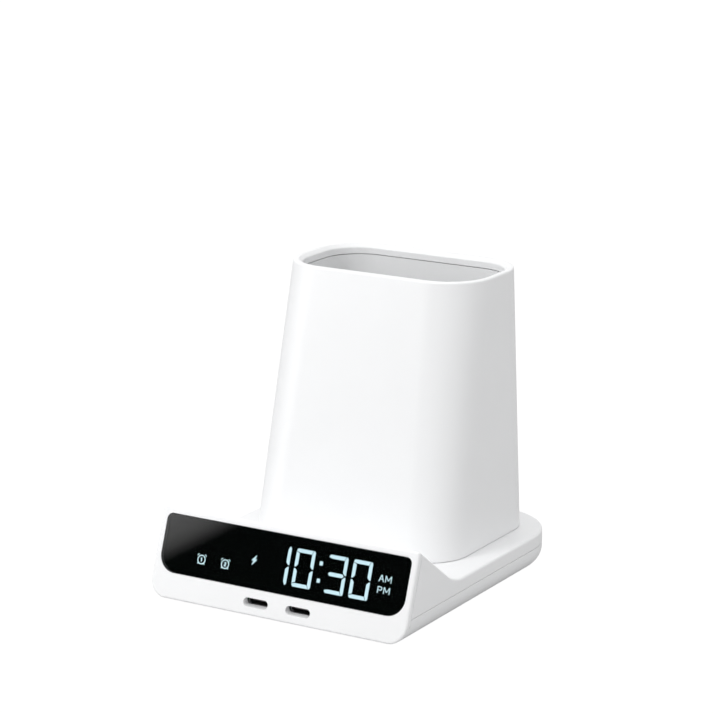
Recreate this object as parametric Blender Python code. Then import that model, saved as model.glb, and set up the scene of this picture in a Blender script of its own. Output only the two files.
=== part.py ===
"""Wireless charging stand with a pen cup, and a clock in the lip of its base.

Metres, +Z up. The origin is on the desk, under the middle of the whole body.
The front with the clock looks along -Y and the cup stands at the back.
"""

import math

import bmesh
import bpy
from mathutils import Matrix, Vector

MM = 0.001

# Fits that all pieces share
FIT = 0.3 * MM                      # gap left between two pieces that meet
OVERRUN = 3.0 * MM                  # how far a cutter runs past the face that it opens
TOLERANCE = 0.002 * MM              # places closer than this count as one

# Base, outer form: heights count from its underside
BASE_WIDTH = 104.0 * MM
BASE_TOP = 13.0 * MM                # flat that carries the cup body
LIP_TOP = 30.6 * MM                 # crest of the lip in front of the phone
FACE_LEAN = math.radians(19.7)      # front face, back from upright
LIP_SLOPE = math.radians(36.1)      # back of the lip, down from level
TROUGH_RADIUS = 16.0 * MM           # hollow where the lip runs into the flat
PHONE_LEDGE = 4.8 * MM              # flat between the hollow and the cup body's foot
REAR_MARGIN = 6.8 * MM              # flat behind the cup body's foot
REAR_CORNER_RADIUS = 26.0 * MM
BOTTOM_RADIUS = 6.6 * MM
EDGE_RADIUS = 0.9 * MM
BASE_WALL = 2.2 * MM
SEAM_HEIGHT = 8.2 * MM              # parting line between the two base shells
LAP_SKIN = 1.0 * MM                 # outer skin left beside the lap joint
LAP_HEIGHT = 1.6 * MM

# Front panel and clock window, measured along the leaning face
PANEL_THICKNESS = 2.0 * MM
WINDOW_SIDE_MARGIN = 2.5 * MM
WINDOW_TOP_MARGIN = 2.6 * MM
WINDOW_RISE = 9.4 * MM              # window's lower edge above the face's lower edge
WINDOW_TOP_RADIUS = 2.2 * MM
WINDOW_LOW_RADIUS = 6.5 * MM
WINDOW_THICKNESS = 1.3 * MM
LIGHT_LEDGE_SIDE = 4.0 * MM         # window's seat beside, below and above the light opening
LIGHT_LEDGE_LOW = 1.8 * MM
LIGHT_LEDGE_HIGH = 2.5 * MM
PANEL_RIM_DEPTH = 2.0 * MM          # stiffening rim behind the panel
PANEL_RIM_SIDE_GAP = 0.7 * MM       # rim to the base shells' inside
PANEL_RIM_LEDGE_LOW = 1.6 * MM      # rim's own width below and above the light opening
PANEL_RIM_LEDGE_HIGH = 1.1 * MM
PANEL_BOSS_RADIUS = 1.6 * MM
PANEL_BOSS_LAND = 0.2 * MM

# Clock: a light box with one well for each segment, seven segments a digit
LIGHT_BOX_DEPTH = 4.0 * MM
WELL_DEPTH = 2.6 * MM
WELL_MARGIN = 0.15 * MM             # a well is this much slimmer than its segment
SEGMENT_THICKNESS = 0.3 * MM
FILM_THICKNESS = 0.2 * MM           # sheet that carries the raised segments
DIGIT_WIDTH = 7.5 * MM
DIGIT_MARGIN_LOW = 1.75 * MM        # digits to the light opening's lower and upper edge
DIGIT_MARGIN_HIGH = 1.45 * MM
DIGIT_MARGIN_RIGHT = 11.4 * MM      # room for the half-day signs
DIGIT_PITCH = 9.75 * MM
COLON_PITCH = 13.0 * MM             # from digit to digit across the colon
DIGIT_STROKE = 1.35 * MM
SEGMENT_MITRE = 0.2 * MM            # each segment's end stands this far off its corner's mitre
COLON_SIDE = 1.7 * MM
COLON_SPREAD = 6.0 * MM
BOARD_THICKNESS = 1.0 * MM
DISPLAY_BOARD_MARGIN_LOW = 0.6 * MM  # light opening's lower and upper edge to the board's
DISPLAY_BOARD_MARGIN_HIGH = 0.6 * MM

# Sockets, sunk into notches of the boards; those in front lie behind slots in the panel
SOCKET_FLOOR_GAP = 0.48 * MM        # below the sockets, above the base's floor
PORT_CENTRE = 0.7 * MM
PORT_SPACING = 17.1 * MM
PORT_SLOT_WIDTH = 9.9 * MM
PORT_SLOT_HEIGHT = 2.92 * MM
PORT_TUNNEL = 2.65 * MM             # depth of the slots, through the panel and the pad behind it
PORT_PAD_SIDE = 1.2 * MM            # pad beside, below and above the slots
PORT_PAD_LOW = 0.35 * MM
PORT_PAD_HIGH = 0.8 * MM
SOCKET_WIDTH = 8.94 * MM
SOCKET_HEIGHT = 3.26 * MM
SOCKET_LENGTH = 7.3 * MM
SOCKET_WALL = 0.3 * MM
TONGUE_WIDTH = 6.7 * MM
TONGUE_THICKNESS = 0.7 * MM
TONGUE_RECESS = 1.0 * MM
INLET_X = -15.0 * MM
INLET_RECESS = 1.7 * MM             # deeper than in front, because the rear wall's foot is rounded

# Clock-setting buttons in the rear wall
BUTTON_FIRST_X = 1.0 * MM
BUTTON_PITCH = 9.4 * MM
BUTTON_SEAM_MARGIN = 1.1 * MM       # button's top edge below the parting line
BUTTON_WIDTH = 7.0 * MM
BUTTON_HEIGHT = 3.0 * MM
BUTTON_PROUD = 0.8 * MM
BUTTON_TRAVEL = 0.6 * MM
BUTTON_EDGE = 0.3 * MM
BUTTON_FLANGE = 0.8 * MM            # how far the flange reaches past the cap
BUTTON_FLANGE_THICKNESS = 1.0 * MM
BUTTON_STEM_RADIUS = 1.0 * MM
BUTTON_STEM_LENGTH = 0.8 * MM
SWITCH_WIDTH = 4.5 * MM
SWITCH_DEPTH = 3.3 * MM
SWITCH_HEIGHT = 2.0 * MM
REAR_PAD_THICKNESS = 1.8 * MM       # flat pad inside the rear wall
REAR_PAD_WIDTH = 51.0 * MM

# Boards in the base
MAIN_BOARD_SIDE_GAP = 5.2 * MM      # board to the bosses beside it
MAIN_BOARD_DEPTH = 46.0 * MM
MAIN_POST_INSET = 5.0 * MM
REAR_BOARD_SIDE_GAP = 0.5 * MM      # board's end short of the rear pad's end
REAR_BOARD_DEPTH = 15.0 * MM
REAR_POST_INSET_SIDE = 3.5 * MM
REAR_POST_INSET = 3.2 * MM
POST_RADIUS = 2.4 * MM
INDUCTOR_SIDE = 7.0 * MM
INDUCTOR_HEIGHT = 4.0 * MM
INDUCTOR_EDGE = 0.6 * MM
CHIP_SIDE = 6.0 * MM
CHIP_HEIGHT = 0.9 * MM
CAPACITOR_RADIUS = 2.5 * MM
CAPACITOR_HEIGHT = 4.6 * MM
BUZZER_RADIUS = 4.5 * MM
BUZZER_HEIGHT = 3.6 * MM
BUZZER_HOLE = 1.0 * MM
CONNECTOR_WIDTH = 8.0 * MM
CONNECTOR_DEPTH = 3.6 * MM
CONNECTOR_HEIGHT = 2.0 * MM
CABLE_WIDTH = 6.0 * MM
CABLE_THICKNESS = 0.6 * MM
CABLE_HEADROOM = 1.1 * MM           # between the flat cable's hump and the base's ceiling

# Screws, feet and the bosses that take them
CASE_SCREW_SIDE_INSET = 12.0 * MM
CASE_SCREW_FRONT_INSET = 24.0 * MM  # behind the face's lower edge
CASE_SCREW_REAR_INSET = 33.2 * MM
SCREW_RADIUS = 1.1 * MM
SCREW_HEAD_RADIUS = 2.0 * MM
SCREW_HEAD_HEIGHT = 1.4 * MM
SCREW_SLOT_RADIUS = 0.9 * MM
SCREW_SLOT_DEPTH = 0.8 * MM
COUNTERBORE_DEPTH = 3.2 * MM
CASE_BOSS_RADIUS = 3.8 * MM
CASE_BOSS_TOP = 6.2 * MM
PILLAR_RADIUS = 3.0 * MM
PILOT_ROOF = 1.2 * MM               # material left above a blind hole
SMALL_SCREW_RADIUS = 0.7 * MM
SMALL_HEAD_RADIUS = 1.3 * MM
SMALL_HEAD_HEIGHT = 0.9 * MM
SMALL_SLOT_RADIUS = 0.6 * MM
SMALL_SLOT_DEPTH = 0.5 * MM
FOOT_RADIUS = 5.5 * MM
FOOT_PROUD = 1.2 * MM
FOOT_RECESS = 0.8 * MM
FOOT_EDGE = 0.5 * MM
FOOT_FRONT_SIDE_INSET = 15.0 * MM
FOOT_FRONT_INSET = 11.0 * MM
FOOT_REAR_SIDE_INSET = 19.0 * MM
FOOT_REAR_INSET = 17.2 * MM

# Cup body: a drafted loft from its foot on the base to its rim
RIM_HEIGHT = 109.2 * MM             # above the base's underside
STAND_SIDE_MARGIN = 9.7 * MM        # base's flat beside the foot
STAND_SIDE_DRAFT = 2.6 * MM         # how far each side comes in from foot to rim
STAND_REAR_DRAFT = 0.9 * MM
STAND_FOOT_DEPTH = 67.3 * MM
STAND_FOOT_CORNER_SHARE = 0.378     # corner radius as a share of the half width
STAND_RIM_DEPTH = 46.8 * MM
STAND_RIM_CORNER_SHARE = 0.448
STAND_WALL = 1.8 * MM
RIM_EDGE_RADIUS = 0.7 * MM
RIM_LAND = 1.9 * MM                 # outer face to the start of the inner chamfer
RIM_BAND = 3.3 * MM                 # outer face to the inside of the rim
RIM_CHAMFER_DROP = 1.3 * MM
RIM_BAND_HEIGHT = 3.6 * MM
LINER_WALL = 1.2 * MM
LINER_DRAFT = 1.0 * MM
LINER_FLOOR = 2.0 * MM
LINER_FLOOR_RADIUS = 2.5 * MM
LINER_PILLAR_HEIGHT = 3.3 * MM
LINER_PILLAR_RADIUS = 3.2 * MM
LINER_PILLAR_SIDE_INSET = 12.4 * MM
LINER_PILLAR_INSET = 8.0 * MM
LINER_PILOT_ROOF = 0.9 * MM

# Charging pack behind the leaning front wall
COIL_HEIGHT = 58.0 * MM             # coil centre above the base's underside
COIL_WIRE_RADIUS = 0.55 * MM
COIL_PITCH = 1.6 * MM
COIL_MARGIN = 1.8 * MM              # winding's last turn to the ferrite's edge
COIL_TURNS = 7
FERRITE_RADIUS = 23.5 * MM
FERRITE_THICKNESS = 0.8 * MM
FERRITE_HOLE = 6.0 * MM
HOLDER_SIDE_GAP = 3.0 * MM          # holder's side to the cup body's rounded wall
HOLDER_HEIGHT = 49.0 * MM
HOLDER_CORNER = 5.0 * MM
HOLDER_THICKNESS = 1.5 * MM
HOLDER_HOLE_RADIUS = 8.0 * MM
HOLDER_BOSS_SIDE_INSET = 3.5 * MM
HOLDER_BOSS_END_INSET = 4.5 * MM
HOLDER_BOSS_RADIUS = 2.2 * MM
LEAD_RADIUS = 0.6 * MM
LEAD_SPACING = 3.0 * MM
LEAD_X = -10.0 * MM
LEAD_SLOT_WIDTH = 12.0 * MM
LEAD_SLOT_DEPTH = 6.0 * MM
LEAD_END_INSET = 4.9 * MM           # where a lead meets the main board, from the board's rear edge

# Facets
ARC_STEPS = 6
REAR_STEPS = 8
BOTTOM_STEPS = 4
EDGE_STEPS = 2
CUP_STEPS = 9
ROUND_STEPS = 20
SMALL_STEPS = 10
COIL_STEPS = 20
SHARP_ANGLE = math.radians(32.0)

# The base from front to rear: leaning face, lip, hollow, ledge, cup body, margin
FACE_LENGTH = LIP_TOP / math.cos(FACE_LEAN)
CREST = LIP_TOP * math.tan(FACE_LEAN)
HOLLOW = CREST + (LIP_TOP - BASE_TOP) / math.tan(LIP_SLOPE)
STAND_FOOT_FRONT = HOLLOW + TROUGH_RADIUS * math.tan(LIP_SLOPE / 2) + PHONE_LEDGE
STAND_FOOT_REAR = STAND_FOOT_FRONT + STAND_FOOT_DEPTH
BASE_DEPTH = STAND_FOOT_REAR + REAR_MARGIN
BODY_DEPTH = BASE_DEPTH + BUTTON_PROUD

# Heights and depths in the object's own frame
FRONT_Y = -(BODY_DEPTH + EDGE_RADIUS * math.sin(FACE_LEAN)) / 2
REAR_Y = FRONT_Y + BASE_DEPTH
REAR_INNER_Y = REAR_Y - BASE_WALL - REAR_PAD_THICKNESS
UNDERSIDE = FOOT_PROUD
TOP_Z = UNDERSIDE + BASE_TOP
SEAM_Z = UNDERSIDE + SEAM_HEIGHT
CEILING_Z = TOP_Z - BASE_WALL
RIM_Z = UNDERSIDE + RIM_HEIGHT
PORT_HEIGHT = BASE_WALL + SOCKET_FLOOR_GAP + SOCKET_HEIGHT / 2
PORT_Z = UNDERSIDE + PORT_HEIGHT
PORT_RECESS = PORT_TUNNEL + FIT
BOARD_LOW_Z = PORT_Z - BOARD_THICKNESS / 2
BOARD_TOP_Z = PORT_Z + BOARD_THICKNESS / 2
STAND_FOOT_Z = TOP_Z + FIT

# Cup body
STAND_FOOT_HALF = BASE_WIDTH / 2 - STAND_SIDE_MARGIN
STAND_RIM_HALF = STAND_FOOT_HALF - STAND_SIDE_DRAFT
STAND_FOOT_RADIUS = STAND_FOOT_CORNER_SHARE * STAND_FOOT_HALF
STAND_RIM_RADIUS = STAND_RIM_CORNER_SHARE * STAND_RIM_HALF
STAND_RIM_REAR = STAND_FOOT_REAR - STAND_REAR_DRAFT
STAND_RIM_FRONT = STAND_RIM_REAR - STAND_RIM_DEPTH
STAND_LEAN = math.atan2(STAND_RIM_FRONT - STAND_FOOT_FRONT, RIM_Z - STAND_FOOT_Z)

# Window and clock, along the leaning face
WINDOW_WIDTH = BASE_WIDTH - 2 * WINDOW_SIDE_MARGIN
WINDOW_HIGH = FACE_LENGTH - WINDOW_TOP_MARGIN
LIGHT_OPENING_WIDTH = WINDOW_WIDTH - 2 * LIGHT_LEDGE_SIDE
LIGHT_OPENING_LOW = WINDOW_RISE + LIGHT_LEDGE_LOW
LIGHT_OPENING_HIGH = WINDOW_HIGH - LIGHT_LEDGE_HIGH
PANEL_RIM_WIDTH = BASE_WIDTH - 2 * (BASE_WALL + PANEL_RIM_SIDE_GAP)
PANEL_BOSS_X = LIGHT_OPENING_WIDTH / 2 + PANEL_BOSS_RADIUS + PANEL_BOSS_LAND
DIGIT_LOW = LIGHT_OPENING_LOW + DIGIT_MARGIN_LOW
DIGIT_HEIGHT = LIGHT_OPENING_HIGH - DIGIT_MARGIN_HIGH - DIGIT_LOW
LAST_DIGIT_X = LIGHT_OPENING_WIDTH / 2 - DIGIT_MARGIN_RIGHT - DIGIT_WIDTH
DIGIT_X = [LAST_DIGIT_X - 2 * DIGIT_PITCH - COLON_PITCH + DIGIT_PITCH * order + shift
           for order, shift in ((0, 0), (1, 0), (1, COLON_PITCH), (2, COLON_PITCH))]
COLON_X = (DIGIT_X[1] + DIGIT_WIDTH + DIGIT_X[2]) / 2

# Screws and buttons
CASE_SCREW_X = BASE_WIDTH / 2 - CASE_SCREW_SIDE_INSET
CASE_SCREWS = [(side * CASE_SCREW_X, y) for side in (-1, 1)
               for y in (FRONT_Y + CASE_SCREW_FRONT_INSET, REAR_Y - CASE_SCREW_REAR_INSET)]
BUTTON_X = [BUTTON_FIRST_X + BUTTON_PITCH * order for order in range(3)]

IDENTITY = Matrix.Identity(4)


def frame(origin, x_axis, y_axis):
    """Return the matrix of a frame with its origin there, its third axis being x cross y."""
    across = Vector(x_axis).normalized()
    up = Vector(y_axis).normalized()
    columns = Matrix((across, up, across.cross(up))).transposed()
    return Matrix.Translation(Vector(origin)) @ columns.to_4x4()


# Local frames. In each of them +Z points out of the object.
FACE = frame((0, FRONT_Y, UNDERSIDE), (1, 0, 0), (0, math.sin(FACE_LEAN), math.cos(FACE_LEAN)))
FRONT_PORTS = frame((0, FRONT_Y + PORT_HEIGHT * math.tan(FACE_LEAN), PORT_Z), (1, 0, 0), (0, 0, 1))
REAR_WALL = frame((0, REAR_Y, PORT_Z), (-1, 0, 0), (0, 0, 1))
SIDE = frame((0, 0, 0), (0, 1, 0), (0, 0, 1))
COIL_Z = UNDERSIDE + COIL_HEIGHT
COIL_SHARE = (COIL_Z - STAND_FOOT_Z) / (RIM_Z - STAND_FOOT_Z)
COIL_Y = FRONT_Y + STAND_FOOT_FRONT + (COIL_Z - STAND_FOOT_Z) * math.tan(STAND_LEAN)
CHARGE = frame((0, COIL_Y, COIL_Z), (1, 0, 0), (0, math.sin(STAND_LEAN), math.cos(STAND_LEAN)))


def finish(name, colour, roughness, metallic=0.0, alpha=1.0):
    """Return a Principled material with these values."""
    made = bpy.data.materials.new(name)
    made.use_nodes = True
    shader = made.node_tree.nodes["Principled BSDF"]
    shader.inputs["Base Color"].default_value = (*colour, 1.0)
    shader.inputs["Roughness"].default_value = roughness
    shader.inputs["Metallic"].default_value = metallic
    shader.inputs["Alpha"].default_value = alpha
    made.diffuse_color = (*colour, alpha)
    return made


def collection(name):
    """Return a new collection in the scene."""
    made = bpy.data.collections.new(name)
    bpy.context.scene.collection.children.link(made)
    return made


def clear_scene():
    """Remove every object that the file opened with."""
    for item in list(bpy.data.objects):
        bpy.data.objects.remove(item, do_unlink=True)


def to_object(name, bm, place, group):
    """Turn a bmesh in local coordinates into an object of a collection."""
    bmesh.ops.recalc_face_normals(bm, faces=bm.faces)
    mesh = bpy.data.meshes.new(name)
    bm.to_mesh(mesh)
    bm.free()
    mesh.shade_smooth()
    mesh.set_sharp_from_angle(angle=SHARP_ANGLE)
    made = bpy.data.objects.new(name, mesh)
    made.matrix_world = place
    group.objects.link(made)
    return made


def piece(name, bm, material, place=IDENTITY):
    """Add one named part of the object."""
    made = to_object(name, bm, place, PARTS)
    made.data.materials.append(material)
    return made


def tool(name, bm, place=IDENTITY):
    """Add a shape that only cuts, joins or limits a part."""
    made = to_object(name, bm, place, CUTTERS)
    made.hide_render = True
    made.display_type = "WIRE"
    return made


def combine(target, operation, *others):
    """Add one Boolean modifier for each of the other shapes."""
    for other in others:
        change = target.modifiers.new(other.name, "BOOLEAN")
        change.operation = operation
        change.solver = "EXACT"
        change.object = other


def cut(target, *others):
    """Take the other shapes away from the target."""
    combine(target, "DIFFERENCE", *others)


def join(target, *others):
    """Make the other shapes one body with the target."""
    combine(target, "UNION", *others)


def add_box(bm, low, high):
    """Add a box between two corners."""
    low, high = Vector(low), Vector(high)
    size = high - low
    place = Matrix.Translation((low + high) / 2) @ Matrix.Diagonal((*size, 1.0))
    bmesh.ops.create_cube(bm, size=1.0, matrix=place)


def add_round(bm, at, low, high, radius, top_radius=None, steps=ROUND_STEPS):
    """Add an upright cylinder, or a cone where the top radius differs."""
    upper = radius if top_radius is None else top_radius
    place = Matrix.Translation((at[0], at[1], (low + high) / 2))
    bmesh.ops.create_cone(bm, cap_ends=True, segments=steps, radius1=radius, radius2=upper,
                          depth=high - low, matrix=place)


def add_prism(bm, outline, low, high):
    """Add an outline in the XY plane, pulled up from one height to another."""
    base = bm.faces.new([bm.verts.new((u, v, low)) for u, v in outline])
    pulled = bmesh.ops.extrude_face_region(bm, geom=[base])
    moved = [item for item in pulled["geom"] if isinstance(item, bmesh.types.BMVert)]
    bmesh.ops.translate(bm, verts=moved, vec=(0, 0, high - low))


def bevel(bm, edges, radius, steps):
    """Round these edges."""
    bmesh.ops.bevel(bm, geom=edges, offset=radius, offset_type="OFFSET", segments=steps,
                    profile=0.5, affect="EDGES", material=-1)


def rounded(corners, radii, steps=ARC_STEPS):
    """Return an outline whose corners are arcs of the given radii."""
    outline = []
    count = len(corners)
    for index, radius in enumerate(radii):
        corner = Vector(corners[index])
        back = (Vector(corners[index - 1]) - corner).normalized()
        ahead = (Vector(corners[(index + 1) % count]) - corner).normalized()
        if radius <= TOLERANCE:
            outline.append(tuple(corner))
            continue
        half = back.angle(ahead) / 2
        centre = corner + (back + ahead).normalized() * (radius / math.sin(half))
        start = corner + back * (radius / math.tan(half)) - centre
        sweep = start.angle_signed(corner + ahead * (radius / math.tan(half)) - centre)
        for step in range(steps + 1):
            turn = -sweep * step / steps
            outline.append((centre.x + start.x * math.cos(turn) - start.y * math.sin(turn),
                            centre.y + start.x * math.sin(turn) + start.y * math.cos(turn)))
    return outline


def rectangle(left, low, right, high, radii, steps=ARC_STEPS):
    """Return a rectangle whose radii go round from its lower left corner."""
    corners = [(left, low), (right, low), (right, high), (left, high)]
    return rounded(corners, radii, steps)


def slot_outline(centre_x, centre_y, width, height, steps=ARC_STEPS):
    """Return a slot with round ends."""
    end = height / 2 - TOLERANCE
    return rectangle(centre_x - width / 2, centre_y - height / 2, centre_x + width / 2,
                     centre_y + height / 2, (end, end, end, end), steps)


def moved_in(corners, insets):
    """Move each side of a polygon inward by its own inset; side i leaves corner i."""
    lines = []
    count = len(corners)
    for index, inset in enumerate(insets):
        start, end = Vector(corners[index]), Vector(corners[(index + 1) % count])
        along = (end - start).normalized()
        inward = Vector((-along.y, along.x))
        lines.append((start + inward * inset, along))
    result = []
    for index, (point, along) in enumerate(lines):
        other, direction = lines[index - 1]
        reach = (other - point).cross(direction) / along.cross(direction)
        result.append(point + along * reach)
    return result


def loft(bm, rings, closed):
    """Skin rings of equally many points; cap both ends, or join the last to the first."""
    loops = [[bm.verts.new(point) for point in ring] for ring in rings]
    count = len(loops[0])
    pairs = list(zip(loops, loops[1:]))
    if closed:
        pairs.append((loops[-1], loops[0]))
    else:
        bm.faces.new(loops[0])
        bm.faces.new(loops[-1])
    for lower, upper in pairs:
        for index in range(count):
            after = (index + 1) % count
            bm.faces.new((lower[index], lower[after], upper[after], upper[index]))


def make_screws(name, places, steel, place, head_low, length, small=False):
    """Add equal screws that point along the frame's +Z, each its own part on one shared mesh."""
    radius = SMALL_SCREW_RADIUS if small else SCREW_RADIUS
    head_radius = SMALL_HEAD_RADIUS if small else SCREW_HEAD_RADIUS
    head_height = SMALL_HEAD_HEIGHT if small else SCREW_HEAD_HEIGHT
    slot_radius = SMALL_SLOT_RADIUS if small else SCREW_SLOT_RADIUS
    slot_depth = SMALL_SLOT_DEPTH if small else SCREW_SLOT_DEPTH
    profile = [(slot_radius, slot_depth), (slot_radius, 0), (head_radius, 0),
               (head_radius, head_height), (radius, head_height), (radius, head_height + length)]
    bm = bmesh.new()
    loft(bm, [[(reach * math.cos(math.tau * step / SMALL_STEPS),
                reach * math.sin(math.tau * step / SMALL_STEPS), height)
               for step in range(SMALL_STEPS)] for reach, height in profile], closed=False)
    seats = [place @ Matrix.Translation((x, y, head_low)) for x, y in places]
    first = piece(name + "_1", bm, steel, seats[0])
    for number, seat in enumerate(seats[1:], start=2):
        made = bpy.data.objects.new(name + "_" + str(number), first.data)
        made.matrix_world = seat
        PARTS.objects.link(made)


def base_block(wall, front):
    """Return the solid of the whole base, its walls moved in by one inset and its face by another."""
    corners = [(FRONT_Y, UNDERSIDE), (REAR_Y, UNDERSIDE), (REAR_Y, TOP_Z), (FRONT_Y + HOLLOW, TOP_Z),
               (FRONT_Y + CREST, UNDERSIDE + LIP_TOP)]
    corners = moved_in(corners, (wall, wall, wall, wall, front))
    outline = rounded(corners, (0, 0, 0, TROUGH_RADIUS + wall, 0))
    half = BASE_WIDTH / 2 - wall
    bm = bmesh.new()
    add_prism(bm, outline, -half, half)
    bmesh.ops.transform(bm, matrix=SIDE, verts=bm.verts)
    rear, low, nose = corners[1].x, corners[1].y, corners[0].x
    upright = [edge for edge in bm.edges
               if all(abs(vert.co.y - rear) < TOLERANCE for vert in edge.verts)
               and abs(edge.verts[0].co.x - edge.verts[1].co.x) < TOLERANCE]
    bevel(bm, upright, REAR_CORNER_RADIUS - wall, REAR_STEPS)
    under = [edge for edge in bm.edges
             if all(abs(vert.co.z - low) < TOLERANCE for vert in edge.verts)
             and any(abs(vert.co.y - nose) > TOLERANCE for vert in edge.verts)]
    bevel(bm, under, BOTTOM_RADIUS - wall, BOTTOM_STEPS)
    if wall == 0:
        sharp = [edge for edge in bm.edges if edge.calc_face_angle() > SHARP_ANGLE]
        bevel(bm, sharp, EDGE_RADIUS, EDGE_STEPS)
    return bm


def clip(bm, point, outward):
    """Cut off what lies beyond a plane and close the cut."""
    everything = bm.verts[:] + bm.edges[:] + bm.faces[:]
    result = bmesh.ops.bisect_plane(bm, geom=everything, dist=TOLERANCE / 10, plane_co=point,
                                    plane_no=outward, clear_outer=True)
    rim = [item for item in result["geom_cut"] if isinstance(item, bmesh.types.BMEdge)]
    bmesh.ops.edgeloop_fill(bm, edges=rim)


def clip_behind_panel(bm, gap):
    """Keep only what lies behind the front panel."""
    outward = FACE.to_3x3() @ Vector((0, 0, 1))
    clip(bm, FACE @ Vector((0, 0, -PANEL_THICKNESS - gap)), outward)


def clip_height(bm, low=None, high=None):
    """Keep only what lies between two heights."""
    if low is not None:
        clip(bm, (0, 0, low), (0, 0, -1))
    if high is not None:
        clip(bm, (0, 0, high), (0, 0, 1))


def window_outline(margin):
    """Return the clock window's outline, grown all round by a margin."""
    half = WINDOW_WIDTH / 2 + margin
    low, high = WINDOW_RISE - margin, WINDOW_HIGH + margin
    under, over = WINDOW_LOW_RADIUS + margin, WINDOW_TOP_RADIUS + margin
    return rectangle(-half, low, half, high, (under, under, over, over))


def port_places():
    """Return the X of the two sockets in the front."""
    return [PORT_CENTRE + side * PORT_SPACING / 2 for side in (-1, 1)]


def make_front_panel(white):
    """Model the leaning bezel with its window recess, port slots and rear rim."""
    block = base_block(0, 0)
    outward = FACE.to_3x3() @ Vector((0, 0, -1))
    clip(block, FACE @ Vector((0, 0, -PANEL_THICKNESS)), outward)
    panel = piece("front_panel", block, white)
    rim = bmesh.new()
    half = PANEL_RIM_WIDTH / 2
    depth = -PANEL_THICKNESS - PANEL_RIM_DEPTH
    add_box(rim, (-half, LIGHT_OPENING_LOW - PANEL_RIM_LEDGE_LOW, depth),
            (half, LIGHT_OPENING_HIGH + PANEL_RIM_LEDGE_HIGH, -PANEL_THICKNESS / 2))
    bosses = bmesh.new()
    boss_end = -LIGHT_BOX_BACK
    for at in DISPLAY_SCREWS:
        add_round(bosses, at, boss_end, -PANEL_THICKNESS, PANEL_BOSS_RADIUS, steps=SMALL_STEPS)
    pad = bmesh.new()
    half, low = (PORT_SPACING + PORT_SLOT_WIDTH) / 2 + PORT_PAD_SIDE, -PORT_SLOT_HEIGHT / 2 - PORT_PAD_LOW
    add_box(pad, (PORT_CENTRE - half, low, -PORT_TUNNEL),
            (PORT_CENTRE + half, PORT_SLOT_HEIGHT / 2 + PORT_PAD_HIGH, -PANEL_THICKNESS / 2))
    join(panel, tool("panel_rim", rim, FACE), tool("panel_bosses", bosses, FACE),
         tool("port_pad", pad, FRONT_PORTS))
    recess = bmesh.new()
    add_prism(recess, window_outline(FIT), -WINDOW_THICKNESS - FIT, OVERRUN)
    opening = bmesh.new()
    half = LIGHT_OPENING_WIDTH / 2
    add_box(opening, (-half, LIGHT_OPENING_LOW, depth - OVERRUN), (half, LIGHT_OPENING_HIGH, 0))
    pilots = bmesh.new()
    for at in DISPLAY_SCREWS:
        add_round(pilots, at, boss_end - OVERRUN, -PANEL_THICKNESS, SMALL_SCREW_RADIUS + FIT,
                  steps=SMALL_STEPS)
    slots = bmesh.new()
    for x in port_places():
        add_prism(slots, slot_outline(x, 0, PORT_SLOT_WIDTH, PORT_SLOT_HEIGHT),
                  -PORT_TUNNEL - OVERRUN, OVERRUN)
    cut(panel, tool("window_recess", recess, FACE), tool("light_opening", opening, FACE),
        tool("panel_pilots", pilots, FACE), tool("port_slots", slots, FRONT_PORTS))
    return panel


# Depths of the clock's layers behind the face
SEGMENT_FRONT = WINDOW_THICKNESS + FIT
FILM_FRONT = SEGMENT_FRONT + SEGMENT_THICKNESS
LIGHT_BOX_FRONT = FILM_FRONT + FILM_THICKNESS + FIT
LIGHT_BOX_BACK = LIGHT_BOX_FRONT + LIGHT_BOX_DEPTH
DISPLAY_BOARD_FRONT = LIGHT_BOX_BACK + FIT
PANEL_BOSS_RISE = (LIGHT_OPENING_LOW + LIGHT_OPENING_HIGH) / 2
DISPLAY_SCREWS = [(side * PANEL_BOSS_X, PANEL_BOSS_RISE) for side in (-1, 1)]


def make_clock_window(smoked):
    """Model the smoked window that lies flush in the panel."""
    bm = bmesh.new()
    add_prism(bm, window_outline(0), -WINDOW_THICKNESS, 0)
    return piece("clock_window", bm, smoked, FACE)


def segment_end(node, inward, outer, kind, margin):
    """Return one end of a segment, from its outer to its inner side."""
    half = DIGIT_STROKE / 2
    side = outer * (half - margin)
    near = inward * (SEGMENT_MITRE + margin)
    if kind == "corner":
        return [node + near - inward * half + side, node + near + inward * half - side]
    if kind == "middle":
        return [node + near + side, node + near, node + near + inward * half - side]
    return [node + 2 * near + inward * half + side, node + 2 * near,
            node + 2 * near + inward * half - side]


def segment_outlines(left, lit, margin):
    """Return the outlines of a digit's lit segments, slimmed all round by a margin."""
    half = DIGIT_STROKE / 2
    x0, x1 = left + half, left + DIGIT_WIDTH - half
    y0, y2 = DIGIT_LOW + half, DIGIT_LOW + DIGIT_HEIGHT - half
    y1 = (y0 + y2) / 2
    spans = {"a": ((x0, y2), (x1, y2), (0, 1), "corner", "corner"),
             "b": ((x1, y2), (x1, y1), (1, 0), "corner", "middle"),
             "c": ((x1, y0), (x1, y1), (1, 0), "corner", "middle"),
             "d": ((x0, y0), (x1, y0), (0, -1), "corner", "corner"),
             "e": ((x0, y0), (x0, y1), (-1, 0), "corner", "middle"),
             "f": ((x0, y2), (x0, y1), (-1, 0), "corner", "middle"),
             "g": ((x0, y1), (x1, y1), (0, 1), "point", "point")}
    outlines = []
    for name in lit:
        start, end, outer = (Vector(item) for item in spans[name][:3])
        along = (end - start).normalized()
        first = segment_end(start, along, outer, spans[name][3], margin)
        last = segment_end(end, -along, outer, spans[name][4], margin)
        outlines.append(first[::-1] + last)
    return outlines


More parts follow.
